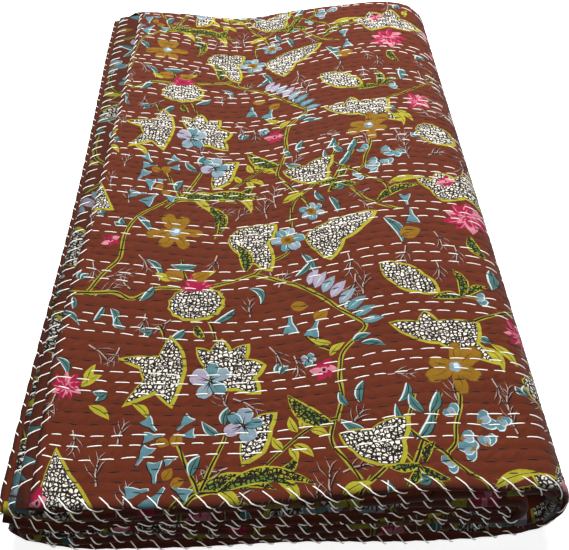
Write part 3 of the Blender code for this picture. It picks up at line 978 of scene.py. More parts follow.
def lattice(side):
    """The mesh's points on one side of the sheet, close together where the pile shows them."""
    hems_across = hem_marks(QUILT_WIDTH, SHOWN_WIDTH)
    hems_along = hem_marks(QUILT_LENGTH, SHOWN_LENGTH)
    far_across = even_stations(0.0, QUILT_WIDTH, FAR_HEM_STEP)
    far_along = even_stations(0.0, QUILT_LENGTH, FAR_HEM_STEP)
    run_step, turn_step = RUN_STEPS[side]
    runs = grid(
        run_stations(ACROSS, QUILT_WIDTH, run_step, turn_step),
        run_stations(ALONG, QUILT_LENGTH, run_step, turn_step / 2.0),
    )
    near_hem = np.array(HEM_STATIONS if side > 0 else HEM_STATIONS[:-1])
    far_a, far_b = QUILT_WIDTH - HEM_BAND, QUILT_LENGTH - HEM_BAND
    regions = [
        ((-BEYOND, BEYOND, -BEYOND, HEM_BAND), grid(hems_across, near_hem)),
        ((-BEYOND, BEYOND, far_b, BEYOND), grid(far_across, QUILT_LENGTH - near_hem)),
        ((-BEYOND, HEM_BAND, -BEYOND, BEYOND), grid(near_hem, hems_along)),
        ((far_a, BEYOND, -BEYOND, BEYOND), grid(QUILT_WIDTH - near_hem, far_along)),
        *(shown_regions() if side > 0 else ()),
        ((-BEYOND, BEYOND, -BEYOND, BEYOND), runs),
    ]
    kept = []
    for number, (box, points) in enumerate(regions):
        inside = in_box(points, box)
        for taken, _ in regions[:number]:
            inside &= ~in_box(points, taken)
        kept.append(points[inside])
    points = np.concatenate(kept)
    margin = 0.0002
    inner = in_box(points, (margin, QUILT_WIDTH - margin, margin, QUILT_LENGTH - margin))
    border = [
        grid(hems_across, [0.0]),
        grid(far_across, [QUILT_LENGTH]),
        grid([0.0], hems_along[1:-1]),
        grid([QUILT_WIDTH], far_along[1:-1]),
    ]
    return np.concatenate([points[inner], *border])


def clipped(outline, low, high):
    """The part of an outline inside a box, or None."""
    for axis in (0, 1):
        for limit, sign in ((low[axis], 1.0), (high[axis], -1.0)):
            if len(outline) < 3:
                return None
            depth = (outline[:, axis] - limit) * sign
            if depth.min() >= 0.0:
                continue
            if depth.max() <= 0.0:
                return None
            kept = []
            following = np.roll(outline, -1, axis=0)
            for here, after, first, second in zip(outline, following, depth, np.roll(depth, -1)):
                if first >= 0.0:
                    kept.append(here)
                if (first >= 0.0) != (second >= 0.0):
                    kept.append(here + (after - here) * first / (first - second))
            outline = np.array(kept)
    return outline if len(outline) >= 3 else None


def refined(outline, longest, shortest):
    """The outline with its long edges divided and its shortest ones dropped."""
    kept = [outline[0]]
    for point in outline[1:]:
        if np.linalg.norm(point - kept[-1]) > shortest:
            kept.append(point)
    if len(kept) > 3 and np.linalg.norm(kept[-1] - kept[0]) < shortest:
        kept.pop()
    outline = np.array(kept)
    points = []
    for start, end in zip(outline, np.roll(outline, -1, axis=0)):
        count = max(int(math.ceil(np.linalg.norm(end - start) / longest)), 1)
        points.append(start + (end - start) * (np.arange(count) / count)[:, None])
    return np.concatenate(points)


def print_windows(side):
    """Where the print shows: (low corner, high corner, longest edge, smallest motif) in metres."""
    low, edge_a, edge_b = NOSE_MARGIN, QUILT_WIDTH - NOSE_MARGIN, QUILT_LENGTH - NOSE_MARGIN
    if side < 0:
        return [((low, STRIP_START), (2.0 * HEM_BAND, edge_b), PLAIN_EDGE, SMALL_MOTIF)]
    past_fold, far_hem = LEFT_FOLD[1] + FOLD_MARGIN, QUILT_LENGTH - HEM_BAND
    front, back = FRONT_FOLD
    return [
        ((low, low), (SHOWN_WIDTH, SHOWN_LENGTH), TOP_EDGE, 0.0),
        ((SHOWN_WIDTH, low), (past_fold, SHOWN_LENGTH), INNER_EDGE, LARGE_MOTIF),
        ((low, front - FRONT_PRINT), (edge_a, back + FRONT_PRINT), HEM_EDGE, SMALL_MOTIF),
        ((past_fold, low), (edge_a, HEM_BAND), HEM_EDGE, SMALL_MOTIF),
        ((low, far_hem), (edge_a, edge_b), HEM_EDGE, SMALL_MOTIF),
        ((past_fold, BACK_FOLD[0] - FOLD_MARGIN), (edge_a, SHOWN_LENGTH), PLAIN_EDGE, SMALL_MOTIF),
        ((low, SHOWN_LENGTH), (HEM_BAND, front - FRONT_GAP), PLAIN_EDGE, SMALL_MOTIF),
        ((low, back + FRONT_GAP), (HEM_BAND, far_hem), PLAIN_EDGE, SMALL_MOTIF),
    ]


def printed_shapes(side):
    """The print's outlines that show on one side of the sheet, flat in metres, with their inks."""
    motifs = []
    for outline, ink in one_repeat():
        flat = (outline + (CHART_LEFT, CHART_FRONT)) * (1.0, CHART_STRETCH) / 1000.0
        flat[:, 1] += row_wave(*flat.T)
        area = abs(doubled_area(flat)) / 2.0
        motifs.append((flat, flat.min(axis=0), flat.max(axis=0), ink, area))
    copies = [
        np.array([right * REPEAT_X + up * REPEAT_LEAN, up * REPEAT_Y]) / 1000.0
        for up in range(-1, 10)
        for right in range(-2, 6)
    ]
    shapes = []
    for low, high, longest, smallest in print_windows(side):
        for step in copies:
            for flat, lowest, highest, ink, area in motifs:
                below = lowest + step - (0.0, ROW_WAVE)
                if area < smallest or np.any(below >= high) or np.any(highest + step <= low):
                    continue
                placed = flat + step
                placed[:, 1] = drifted(*placed.T)
                part = clipped(placed, low, high)
                if part is not None:
                    shapes.append((refined(part, longest, SHORTEST_EDGE), ink))
    return shapes


def inks_at(centres, outlines, inks):
    """The ink at each centre: that of the last outline around it, or the ground."""
    found = np.full(len(centres), INK["ground"])
    order = np.argsort(centres[:, 0])
    sorted_x = centres[order, 0]
    for outline, ink in zip(outlines, inks):
        low, high = outline.min(axis=0), outline.max(axis=0)
        first, last = np.searchsorted(sorted_x, (low[0], high[0]))
        near = order[first:last]
        near = near[(centres[near, 1] > low[1]) & (centres[near, 1] < high[1])]
        x, y = centres[near, 0][:, None], centres[near, 1][:, None]
        x1, y1 = outline.T
        x2, y2 = np.roll(outline, -1, axis=0).T
        crosses = (y1 > y) != (y2 > y)
        rise = np.where(y2 == y1, 1.0, y2 - y1)
        crosses &= x < x1 + (x2 - x1) * (y - y1) / rise
        found[near[crosses.sum(axis=1) % 2 == 1]] = ink
    return found


def triangulated(points, edges):
    """Points and triangles of the drawing plane that keep these edges."""
    made = delaunay_2d_cdt([Vector(point) for point in points], edges.tolist(), [], 0, 1e-5, False)
    return [np.array([tuple(row) for row in made[part]]) for part in (0, 2)]


def print_edges(plane, triangles, inks):
    """The edges where the ink changes, with their points thinned out where a line runs straight."""
    ends = np.concatenate([triangles[:, pair] for pair in ([0, 1], [1, 2], [2, 0])])
    ends = np.sort(ends, axis=1)
    ink = np.tile(inks, 3)
    order = np.lexsort((ends[:, 1], ends[:, 0]))
    ends, ink = ends[order], ink[order]
    paired = np.all(ends[1:] == ends[:-1], axis=1) & (ink[1:] != ink[:-1])
    edges = ends[1:][paired]
    beside = {}
    for first, second in edges.tolist():
        beside.setdefault(first, []).append(second)
        beside.setdefault(second, []).append(first)
    for _ in range(2):
        for point in list(beside):
            near = beside[point]
            if len(near) != 2 or near[0] in beside[near[1]]:
                continue
            (x, y), (x1, y1), (x2, y2) = plane[point], plane[near[0]], plane[near[1]]
            long = math.hypot(x2 - x1, y2 - y1)
            off = abs((x2 - x1) * (y - y1) - (y2 - y1) * (x - x1)) / max(long, 1e-9)
            if long < LONGEST_STRAIGHT and off < STRAIGHT_WITHIN:
                first, second = near
                beside[first][beside[first].index(point)] = second
                beside[second][beside[second].index(point)] = first
                del beside[point]
    number = {point: at for at, point in enumerate(beside)}
    edges = [(number[one], number[other]) for one in beside for other in beside[one] if one < other]
    return plane[list(beside)], np.array(edges)


def one_side(side):
    """Flat points, triangles and each triangle's ink on one side of the sheet."""
    shapes = printed_shapes(side)
    inks = [ink for _, ink in shapes]
    outlines = [to_plane(outline) for outline, _ in shapes]
    first, edges = 0, []
    for outline in outlines:
        number = np.arange(first, first + len(outline))
        edges.append(np.column_stack([number, np.roll(number, -1)]))
        first += len(outline)
    plane, triangles = triangulated(np.concatenate(outlines), np.concatenate(edges))
    found = inks_at(plane[triangles].mean(axis=1), outlines, inks)
    drawn, edges = print_edges(plane, triangles, found)
    near = {(int(x), int(y)) for x, y in drawn / CROWDED}
    points = to_plane(lattice(side))
    away = np.array([(int(x), int(y)) not in near for x, y in points / CROWDED])
    on_edge = (points[:, 0] <= 0.0) | (points[:, 0] >= DRAWN_ACROSS[1][-1])
    on_edge |= (points[:, 1] <= 0.0) | (points[:, 1] >= DRAWN_ALONG[1][-1])
    points = points[away | on_edge]
    plane, triangles = triangulated(np.concatenate([points, drawn]), edges + len(points))
    return from_plane(plane), triangles, inks_at(plane[triangles].mean(axis=1), outlines, inks)


# The OFBake map: how much of it each part of the outer face takes, and where the other face starts
BAKE_ACROSS = ((0.0, SHOWN_WIDTH, LEFT_FOLD[1], QUILT_WIDTH), (0.0, 0.64, 0.82, 0.90))
BAKE_ALONG = ((0.0, SHOWN_LENGTH, QUILT_LENGTH), (0.0, 0.88, 1.0))
BAKE_OTHER = 0.91


def bake_place(side, a, b):
    """Where each flat point lies on the OFBake map: mostly the top of the pile."""
    if side < 0:
        return np.column_stack([BAKE_OTHER + 0.09 * a / QUILT_WIDTH, b / QUILT_LENGTH])
    return np.column_stack([np.interp(a, *BAKE_ACROSS), np.interp(b, *BAKE_ALONG)])


def painted_shade_at_hems(side, a, b):
    """Painted shade: 1 at a hem and on the front folds, a share of it on the strip at the left, and
    0 away from them.
    """
    strip = STRIP_PAINTED_SHADE * (side < 0) * (a < STRIP_WIDTH) * (b > STRIP_START - STRIP_REACH)
    into = np.minimum(np.minimum(a, QUILT_WIDTH - a), np.minimum(b, QUILT_LENGTH - b))
    folds = np.abs(b - 0.5 * sum(FRONT_FOLD)) < 0.5 * (FRONT_FOLD[1] - FRONT_FOLD[0])
    return np.maximum(np.maximum(np.exp(-((into / HEM_PAINTED_SHADE_WIDTH) ** 2)), folds), strip)


def side_data(side):
    """All that the mesh holds of one side of the sheet, and its triangles and their inks."""
    flat, triangles, ink = one_side(side)
    a, b = flat.T
    place = side, a, b
    # The relief heights, lowered by painted shade at the hems, on the front folds and on the strip
    # at the left
    height = quilting(a, b) * shown_relief(*place) - HEM_PAINTED_SHADE * painted_shade_at_hems(*place)
    points = (flat, sheet_surface(*place), surface_normals(*place), bake_place(*place), height)
    return points, triangles[:, ::side], ink


def cloth_mesh(name, origin):
    """The whole sheet as one closed mesh, folded, with its ink on each face and its flat places."""
    (front, front_faces, front_inks), (back, back_faces, back_inks) = side_data(1), side_data(-1)
    flats, places, normals, bakes, relief_and_painted_shade = (np.concatenate(pair) for pair in zip(front, back))
    faces = np.concatenate([front_faces, back_faces + len(front[0])])
    inks = np.concatenate([front_inks, back_inks])
    corners = faces.ravel()
    edge = ((flats <= 1e-7) | (flats >= np.array((QUILT_WIDTH, QUILT_LENGTH)) - 1e-7)).any(axis=1)
    shared, target = {}, np.arange(len(flats))
    for number in np.flatnonzero(edge):
        key = tuple(np.round(flats[number], 6))
        target[number] = shared.setdefault(key, number)
    used, joined = np.unique(target[corners], return_inverse=True)
    mesh = bpy.data.meshes.new(name)
    mesh.from_pydata((places[used] - origin).tolist(), [], joined.reshape(-1, 3).tolist())
    mesh.polygons.foreach_set("material_index", inks.astype(np.int32))
    for label, places_on_map in (("cloth", flats), ("OFBake", bakes)):
        mesh.uv_layers.new(name=label).data.foreach_set("uv", places_on_map[corners].ravel())
    # The relief attribute holds the relief heights together with the painted shade at the hems and
    # front folds
    relief = mesh.attributes.new("relief", "FLOAT", "POINT")
    relief.data.foreach_set("value", relief_and_painted_shade[used] / RELIEF_UNIT)
    mesh.shade_smooth()
    mesh.normals_split_custom_set(normals[corners].tolist())
    return mesh


def pile_origin():
    """The middle of the pile's outline on the surface that it lies on."""
    points = np.concatenate([sheet_surface(side, *lattice(side).T) for side in (1, -1)])
    low, high = points.min(axis=0), points.max(axis=0)
    return np.array([(low[0] + high[0]) / 2.0, (low[1] + high[1]) / 2.0, low[2]])


# ---- Threads ----
THREAD_SIDES = 6
THREAD_FLATNESS = 0.8
FLOOR_GAP = 0.00003
DASH_PARTS = np.array((-0.03, 0.06, 0.25, 0.5, 0.75, 0.94, 1.03))
DASH_PROUD = np.array((-0.6, 0.15, 0.6, 0.7, 0.6, 0.15, -0.6)) * THREAD
DASH_RADII = np.array((0.55, 0.85, 1.0, 1.05, 1.0, 0.85, 0.55))
BROWN_RADII = DASH_RADII * 0.80
BROWN_DASH = 0.0074
# How uneven the dashes' lengths, their slants and the whip stitches' places are
DASH_UNEVEN = 0.14
DASH_SLANT = 0.06
WHIP_STRAY = 0.09
FIRST_DASHES, LAST_DASHES = 0.007, SHOWN_LENGTH - 0.004
# A whip stitch over an edge: how far in each ring lies and how proud it stands, then its radii
OVER_PARTS = np.array((1.0, 0.88, 0.6, 0.3, 0.08))
OVER_PROUD = np.array((-0.6, 0.3, 0.75, 0.8, 0.8)) * THREAD
WHIP_RADII = np.array((0.6, 0.9, 1.0, 1.0, 1.0, 1.0, 1.0, 1.0, 0.9, 0.6))
# A whip stitch's second half at the front: how far it slides, comes down and stands out
DOWN_SLIDE = np.array((0.0016, 0.0038, 0.0058, 0.0076, 0.0088))
DOWN_PARTS = np.array((0.1, 0.42, 0.8, 1.15, 1.3))[None, :, None]
DOWN_PROUD = np.array((0.0, 0.9, 1.0, 0.3, -2.2))[None, :, None] * THREAD
FOLD_PROUD = np.array((-0.6, 0.3, 0.75, 0.8, 0.8, 0.8, 0.8, 0.75, 0.3, -0.6)) * THREAD
# A whip stitch on a front fold: its first place, in pitches, its ends and how far it slides
FOLD_WHIP_START = 0.4
FOLD_WHIP_ENDS = (-0.12, 1.12)
FOLD_WHIP_SLIDE = 0.0085
PROBE_ACROSS, PROBE_ALONG = 0.01, 0.02
TO_FRONT = np.array((0.0, -1.0, 0.0))
LONG_REACH = 0.0085
SIDE_REACH = 0.0070
SHORT_REACH = 0.0030
CORNER_GAP = 0.006
RUN_GAP = 0.004
WRAP_WHIPS = 0.050
STRIP_WHIPS = 1.945
SIDE_RUNS = (
    # edge     from          to                         outer reach  inner reach
    ("left",  CORNER_GAP,   SHOWN_LENGTH,              SIDE_REACH,  SHORT_REACH),
    ("left",  SHOWN_LENGTH, STRIP_WHIPS,               SHORT_REACH, SHORT_REACH),
    ("left",  STRIP_WHIPS,  QUILT_LENGTH - CORNER_GAP, SHORT_REACH, SIDE_REACH),
    ("right", CORNER_GAP,   QUILT_LENGTH - CORNER_GAP, SHORT_REACH, SHORT_REACH),
)


def thread_mesh(name, paths, normals, radii, origin):
    """Tubes along many paths at once. paths and normals are (tube, ring, 3), radii is (ring,)."""
    ahead = np.gradient(paths, axis=1)
    ahead /= np.maximum(np.linalg.norm(ahead, axis=2, keepdims=True), 1e-9)
    aside = np.cross(ahead, normals)
    aside /= np.maximum(np.linalg.norm(aside, axis=2, keepdims=True), 1e-9)
    above = np.cross(aside, ahead)
    angle = (2.0 * math.pi * np.arange(THREAD_SIDES) / THREAD_SIDES)[None, None, :, None]
    rings = np.cos(angle) * aside[:, :, None] + THREAD_FLATNESS * np.sin(angle) * above[:, :, None]
    points = paths[:, :, None] + rings * radii[None, :, None, None]
    points[..., 2] = np.maximum(points[..., 2], origin[2] + FLOOR_GAP)
    number = np.arange(points.size // 3).reshape(points.shape[:3])
    after = np.roll(number, -1, axis=2)
    quads = np.stack([number[:, :-1], number[:, 1:], after[:, 1:], after[:, :-1]], axis=-1)
    caps = np.concatenate([number[:, 0], number[:, -1, ::-1]])
    mesh = bpy.data.meshes.new(name)
    faces = quads.reshape(-1, 4).tolist() + caps.tolist()
    mesh.from_pydata((points.reshape(-1, 3) - origin).tolist(), [], faces)
    mesh.shade_smooth()
    return mesh


def sewn_points(side, a, b, proud):
    """Points of threads on one side of the sheet, standing proud of it, and the cloth's normals."""
    flat = side, a.ravel(), b.ravel()
    normals = surface_normals(*flat)
    places = sheet_surface(*flat) + normals * np.broadcast_to(proud, a.shape).ravel()[:, None]
    return places.reshape(*a.shape, 3), normals.reshape(*a.shape, 3)


def running_stitches(rows, low, high, length):
    """Paths and normals of the dashes of these rows, between two places across the quilt."""
    starts, sewn = [], []
    for row in rows:
        first = math.ceil(low / DASH_PITCH + dash_phase(row))
        last = math.floor((high - DASH_LENGTH) / DASH_PITCH + dash_phase(row))
        starts += [(number - dash_phase(row)) * DASH_PITCH for number in range(first, last + 1)]
        sewn += [row] * (last + 1 - first)
    starts, sewn = np.array(starts)[:, None], np.array(sewn, float)[:, None]
    wobble = np.sin(12.9898 * starts * 1000.0 + 78.233 * sewn)
    stretch = length / DASH_LENGTH * (1.0 + DASH_UNEVEN * wobble)
    a = starts + DASH_PARTS * DASH_LENGTH * stretch
    rows_at = np.broadcast_to(sewn, a.shape)
    slant = DASH_SLANT * np.sin(3.7 * starts * 1000.0 + 1.9 * sewn)
    b = row_place(a, rows_at + row_shift(a, rows_at) / ROW_PITCH)
    b = b + slant * (a - starts - DASH_LENGTH / 2.0)
    places, normals = sewn_points(1, a, b, DASH_PROUD)
    shown = (b.min(axis=1) > FIRST_DASHES) & (b.max(axis=1) < LAST_DASHES)
    return places[shown], normals[shown]


def whip_numbers(low, high, pitch):
    """The numbers of the whip stitches between two places along a hem, as a column."""
    return np.arange(math.ceil(low / pitch), math.floor(high / pitch) + 1)[:, None]


def side_whips(edge, low, high, outer_reach, inner_reach):
    """Stitches over a side hem: in on one face, over the edge, and out on the other."""
    numbers = whip_numbers(low, high, SIDE_WHIP_PITCH)
    numbers = numbers + WHIP_STRAY * np.sin(9.1 * numbers + 2.0 * low)
    parts = []
    for side, reach in ((1, outer_reach), (-1, inner_reach)):
        into = np.broadcast_to((OVER_PARTS * reach)[None], (len(numbers), len(OVER_PARTS)))
        b = numbers * SIDE_WHIP_PITCH - side * SIDE_LEAN * into
        a = into if edge == "left" else QUILT_WIDTH - into
        parts.append([found[:, ::side] for found in sewn_points(side, a, b, OVER_PROUD)])
    return tuple(np.concatenate(pair, axis=1) for pair in zip(*parts))


def front_whips(low, high, reach):
    """Stitches that catch both hems at a bundle's front: over the upper and down past the lower."""
    numbers = whip_numbers(low, high, WHIP_PITCH)
    numbers = numbers + WHIP_STRAY * np.sin(7.3 * numbers + 2.0 * low)
    # Which of the two hems lies higher here, and which way the bundle runs
    across = 0.5 * (low + high) + np.array((0.0, 0.0, 0.0, PROBE_ACROSS))
    along = np.array((PROBE_ALONG, QUILT_LENGTH - PROBE_ALONG, 0.0, 0.0))
    probe = sheet_surface(1, across, along)
    up_side = 1 if probe[0, 2] > probe[1, 2] else -1
    right = math.copysign(1.0, probe[3, 0] - probe[2, 0])
    slide = np.concatenate([-END_LEAN * OVER_PARTS * reach, DOWN_SLIDE])[None]
    a = numbers * WHIP_PITCH + right * slide
    over, down = a[:, :len(OVER_PARTS)], a[:, len(OVER_PARTS):]
    into = np.broadcast_to((OVER_PARTS * reach)[None], over.shape)
    b = into if up_side > 0 else QUILT_LENGTH - into
    top, top_normals = sewn_points(up_side, over, b, OVER_PROUD)
    upper_edge, lower_edge = (0.0, QUILT_LENGTH)[::up_side]
    nose, _ = sewn_points(1, down, np.full(down.shape, upper_edge), THREAD)
    low_nose, _ = sewn_points(1, down, np.full(down.shape, lower_edge), THREAD)
    down = nose + (low_nose - nose) * DOWN_PARTS + DOWN_PROUD * TO_FRONT
    front = np.broadcast_to(TO_FRONT, down.shape)
    return np.concatenate([top, down], axis=1), np.concatenate([top_normals, front], axis=1)


def fold_whips(low, high):
    """Stitches that show on the front fold of a bundle."""
    numbers = whip_numbers(low, high, WHIP_PITCH) + FOLD_WHIP_START
    part = np.linspace(*FOLD_WHIP_ENDS, len(WHIP_RADII))[None]
    b = FRONT_FOLD[0] + (FRONT_FOLD[1] - FRONT_FOLD[0]) * part
    a = numbers * WHIP_PITCH - FOLD_WHIP_SLIDE * (part - 0.5)
    return sewn_points(1, a, np.broadcast_to(b, a.shape), FOLD_PROUD)


# ---- Materials ----
WEAVE_PITCH = 0.00052
CRACK_PITCH = 0.0034
# Two nets of cracks: the cells' size, then how far from a cell's edge the paint starts and is whole
CRACK_NETS = ((CRACK_PITCH, 0.14, 0.195), (0.8 * CRACK_PITCH, 0.105, 0.155))
CRACK_BEND = 0.0024
CRACK_PATCHES = 0.54
# How uneven the inks are, and how strongly painted light and shade follow the relief attribute:
# paler on the puffs, darker in the channels and at the hems
MOTTLE = 0.25
PAINTED_RELIEF_SHADE = 0.12
# The unevenness of the inks: scale, detail and share
MOTTLES = ((22.0, 3.0, 0.9), (620.0, 2.0, 1.6))


def linear_colour(code):
    """A hexadecimal colour as linear RGBA."""
    channels = [int(code[at:at + 2], 16) / 255.0 for at in (0, 2, 4)]
    return (*[c / 12.92 if c <= 0.04045 else ((c + 0.055) / 1.055) ** 2.4 for c in channels], 1.0)


def feed(tree, socket, operand):
    """Links another node's output to the socket, or sets the socket's value."""
    if isinstance(operand, bpy.types.NodeSocket):
        tree.links.new(operand, socket)
    else:
        socket.default_value = operand


def add_node(tree, kind, inputs=None, **settings):
    """A node with these settings. inputs maps its sockets to values or to other nodes' outputs."""
    node = tree.nodes.new(kind)
    for name, value in settings.items():
        setattr(node, name, value)
    for socket, operand in (inputs or {}).items():
        feed(tree, node.inputs[socket], operand)
    return node


def math_node(tree, operation, first, second=0.0):
    """A Math node's output; each operand is a number or another node's output."""
    return add_node(tree, "ShaderNodeMath", {0: first, 1: second}, operation=operation).outputs[0]


def noise_node(tree, place, scale, detail=2.0):
    return add_node(
        tree, "ShaderNodeTexNoise", {"Vector": place, "Scale": scale, "Detail": detail}
    )


def mixed_colour(tree, factor, first, second, blend="MIX"):
    """A colour Mix node's output."""
    node = add_node(tree, "ShaderNodeMix", data_type="RGBA", blend_type=blend)
    for name, operand in (("Factor_Float", factor), ("A_Color", first), ("B_Color", second)):
        feed(tree, next(socket for socket in node.inputs if socket.identifier == name), operand)
    return next(socket for socket in node.outputs if socket.identifier == "Result_Color")


def shader_group(name, inputs, outputs):
    """An empty node group with these sockets, and its input and output nodes."""
    tree = bpy.data.node_groups.new(name, "ShaderNodeTree")
    for label, kind, default in inputs:
        socket = tree.interface.new_socket(label, in_out="INPUT", socket_type=kind)
        socket.default_value = default
    for label, kind in outputs:
        tree.interface.new_socket(label, in_out="OUTPUT", socket_type=kind)
    return tree, tree.nodes.new("NodeGroupInput"), tree.nodes.new("NodeGroupOutput")


def cotton_group():
    """Printed cotton: the ink mottled by the yarn, with painted light and shade that follow the
    relief attribute, and the weave's height.
    """
    tree, given, result = shader_group(
        "Printed cotton",
        [("Ink", "NodeSocketColor", (0.2, 0.05, 0.02, 1.0)), ("Mottle", "NodeSocketFloat", 0.25),
         ("Painted shade", "NodeSocketFloat", 0.2), ("Weave", "NodeSocketFloat", 1.0)],
        [("Colour", "NodeSocketColor"), ("Height", "NodeSocketFloat")],
    )
    flat = add_node(tree, "ShaderNodeUVMap", uv_map="cloth").outputs["UV"]
    split = add_node(tree, "ShaderNodeSeparateXYZ", {0: flat})
    threads = []
    for axis in (0, 1):
        angle = math_node(tree, "MULTIPLY", split.outputs[axis], 2.0 * math.pi / WEAVE_PITCH)
        threads.append(math_node(tree, "SINE", angle))
    weave = math_node(tree, "MULTIPLY", *threads)
    parts = []
    for scale, detail, share in MOTTLES:
        noise = noise_node(tree, flat, scale, detail)
        centred = math_node(tree, "SUBTRACT", noise.outputs[0], 0.5)
        parts.append(math_node(tree, "MULTIPLY", centred, share))
    mottle = math_node(tree, "MULTIPLY", math_node(tree, "ADD", *parts), given.outputs["Mottle"])
    # Painted light and shade: paler on the puffs, darker in the channels, and darker at the hems
    # and front folds
    relief = add_node(tree, "ShaderNodeAttribute", attribute_name="relief")
    painted_shade = math_node(tree, "MULTIPLY", relief.outputs["Fac"], given.outputs["Painted shade"])
    shade = math_node(tree, "ADD", math_node(tree, "ADD", mottle, painted_shade), 1.0)
    grey = add_node(tree, "ShaderNodeCombineColor", {0: shade, 1: shade, 2: shade})
    feed(tree, result.inputs["Colour"],
         mixed_colour(tree, 1.0, given.outputs["Ink"], grey.outputs[0], "MULTIPLY"))
    height = math_node(tree, "ADD", math_node(tree, "MULTIPLY", weave, 0.5), noise.outputs[0])
    feed(tree, result.inputs["Height"], math_node(tree, "MULTIPLY", height, given.outputs["Weave"]))
    return tree


def crackle_group():
    """Cream paint broken by dark cracks."""
    tree, given, result = shader_group(
        "Crackle",
        [("Paint", "NodeSocketColor", (0.8, 0.75, 0.65, 1.0)),
         ("Crack", "NodeSocketColor", (0.02, 0.01, 0.01, 1.0))],
        [("Colour", "NodeSocketColor")],
    )
    flat = add_node(tree, "ShaderNodeUVMap", uv_map="cloth").outputs["UV"]
    bend = noise_node(tree, flat, 380.0)
    bent = add_node(
        tree, "ShaderNodeVectorMath", operation="MULTIPLY_ADD",
        inputs={0: bend.outputs["Color"], 1: (CRACK_BEND, CRACK_BEND, 0.0), 2: flat},
    )
    lines = []
    for pitch, low, high in CRACK_NETS:
        cells = add_node(
            tree, "ShaderNodeTexVoronoi", feature="DISTANCE_TO_EDGE", voronoi_dimensions="2D",
            inputs={"Vector": bent.outputs["Vector"], "Scale": 1.0 / pitch, "Randomness": 0.85},
        )
        step = add_node(
            tree, "ShaderNodeMapRange", interpolation_type="SMOOTHSTEP",
            inputs={"Value": cells.outputs["Distance"], "From Min": low, "From Max": high},
        )
        lines.append(step.outputs["Result"])
    patches = noise_node(tree, flat, 260.0)
    broken = math_node(tree, "GREATER_THAN", patches.outputs[0], CRACK_PATCHES)
    fine = math_node(tree, "MAXIMUM", lines[1], broken)
    paint = math_node(tree, "MULTIPLY", lines[0], fine)
    feed(tree, result.inputs["Colour"],
         mixed_colour(tree, paint, given.outputs["Crack"], given.outputs["Paint"]))
    return tree


def new_material(name, **values):
    """A material, its tree and its shader, with values for the shader's inputs."""
    material = bpy.data.materials.new(name)
    material.use_nodes = True
    shader = material.node_tree.nodes["Principled BSDF"]
    for socket, value in values.items():
        shader.inputs[socket.replace("_", " ")].default_value = value
    return material, material.node_tree, shader


def surface(tree, shader, colour, height, strength, distance):
    """Gives the shader its colour and its bump."""
    values = {"Strength": strength, "Distance": distance, "Height": height}
    bump = add_node(tree, "ShaderNodeBump", values)
    feed(tree, shader.inputs["Base Color"], colour)
    feed(tree, shader.inputs["Normal"], bump.outputs["Normal"])


def cotton_material(name, ink, cotton, crackle):
    """Cotton printed with one ink, in cracked paint if there is a crackle group."""
    material, tree, shader = new_material(
        name, Roughness=0.86, Specular_IOR_Level=0.12, Sheen_Weight=0.03, Sheen_Roughness=0.5
    )
    if crackle is not None:
        values = {"Paint": ink, "Crack": linear_colour(INKS[INK["black"]][1])}
        ink = add_node(tree, "ShaderNodeGroup", values, node_tree=crackle).outputs["Colour"]
    values = {"Ink": ink, "Mottle": MOTTLE, "Painted shade": PAINTED_RELIEF_SHADE}
    cloth = add_node(tree, "ShaderNodeGroup", values, node_tree=cotton)
    surface(tree, shader, cloth.outputs["Colour"], cloth.outputs["Height"], 0.5, 0.00015)
    return material


def thread_material(name, colour):
    """Loosely twisted cotton thread."""
    material, tree, shader = new_material(
        name, Roughness=0.8, Specular_IOR_Level=0.3, Sheen_Weight=0.2
    )
    place = add_node(tree, "ShaderNodeTexCoord")
    twist = noise_node(tree, place.outputs["Object"], 900.0)
    dark = tuple(channel * 0.90 for channel in colour)
    shade = mixed_colour(tree, twist.outputs[0], (*dark, 1.0), (*colour, 1.0))
    surface(tree, shader, shade, twist.outputs[0], 0.6, 0.0001)
    return material


# ---- The add-on ----
STITCH_PIECES = ("white_running_stitches", "brown_running_stitches", "whip_stitches")


def place_piece(name, mesh, materials):
    """Links a piece that rides on the quilt's body."""
    piece = bpy.data.objects.new(name, mesh)
    bpy.context.scene.collection.objects.link(piece)
    for material in materials:
        mesh.materials.append(material)
    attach(piece, "root")
    return piece


class QuiltSettings(bpy.types.PropertyGroup):
    """Colours of the threads and of the ground, and the threads' thickness."""

    white_thread: bpy.props.FloatVectorProperty(
        name="White thread", description="Colour of the long stitches and of the hems' stitches",
        default=(1.0, 0.97, 0.91), min=0.0, max=1.0, subtype="COLOR",
    )
    brown_thread: bpy.props.FloatVectorProperty(
        name="Brown thread", description="Colour of the short stitches",
        default=(0.027, 0.010, 0.007), min=0.0, max=1.0, subtype="COLOR",
    )
    ground: bpy.props.FloatVectorProperty(
        name="Ground", description="Colour of the cloth between the flowers",
        default=(0.094, 0.0172, 0.0058), min=0.0, max=1.0, subtype="COLOR",
    )
    thread: bpy.props.FloatProperty(
        name="Thread", description="Half the thickness of a stitch",
        default=THREAD, min=0.0001, max=0.001, unit="LENGTH",
    )


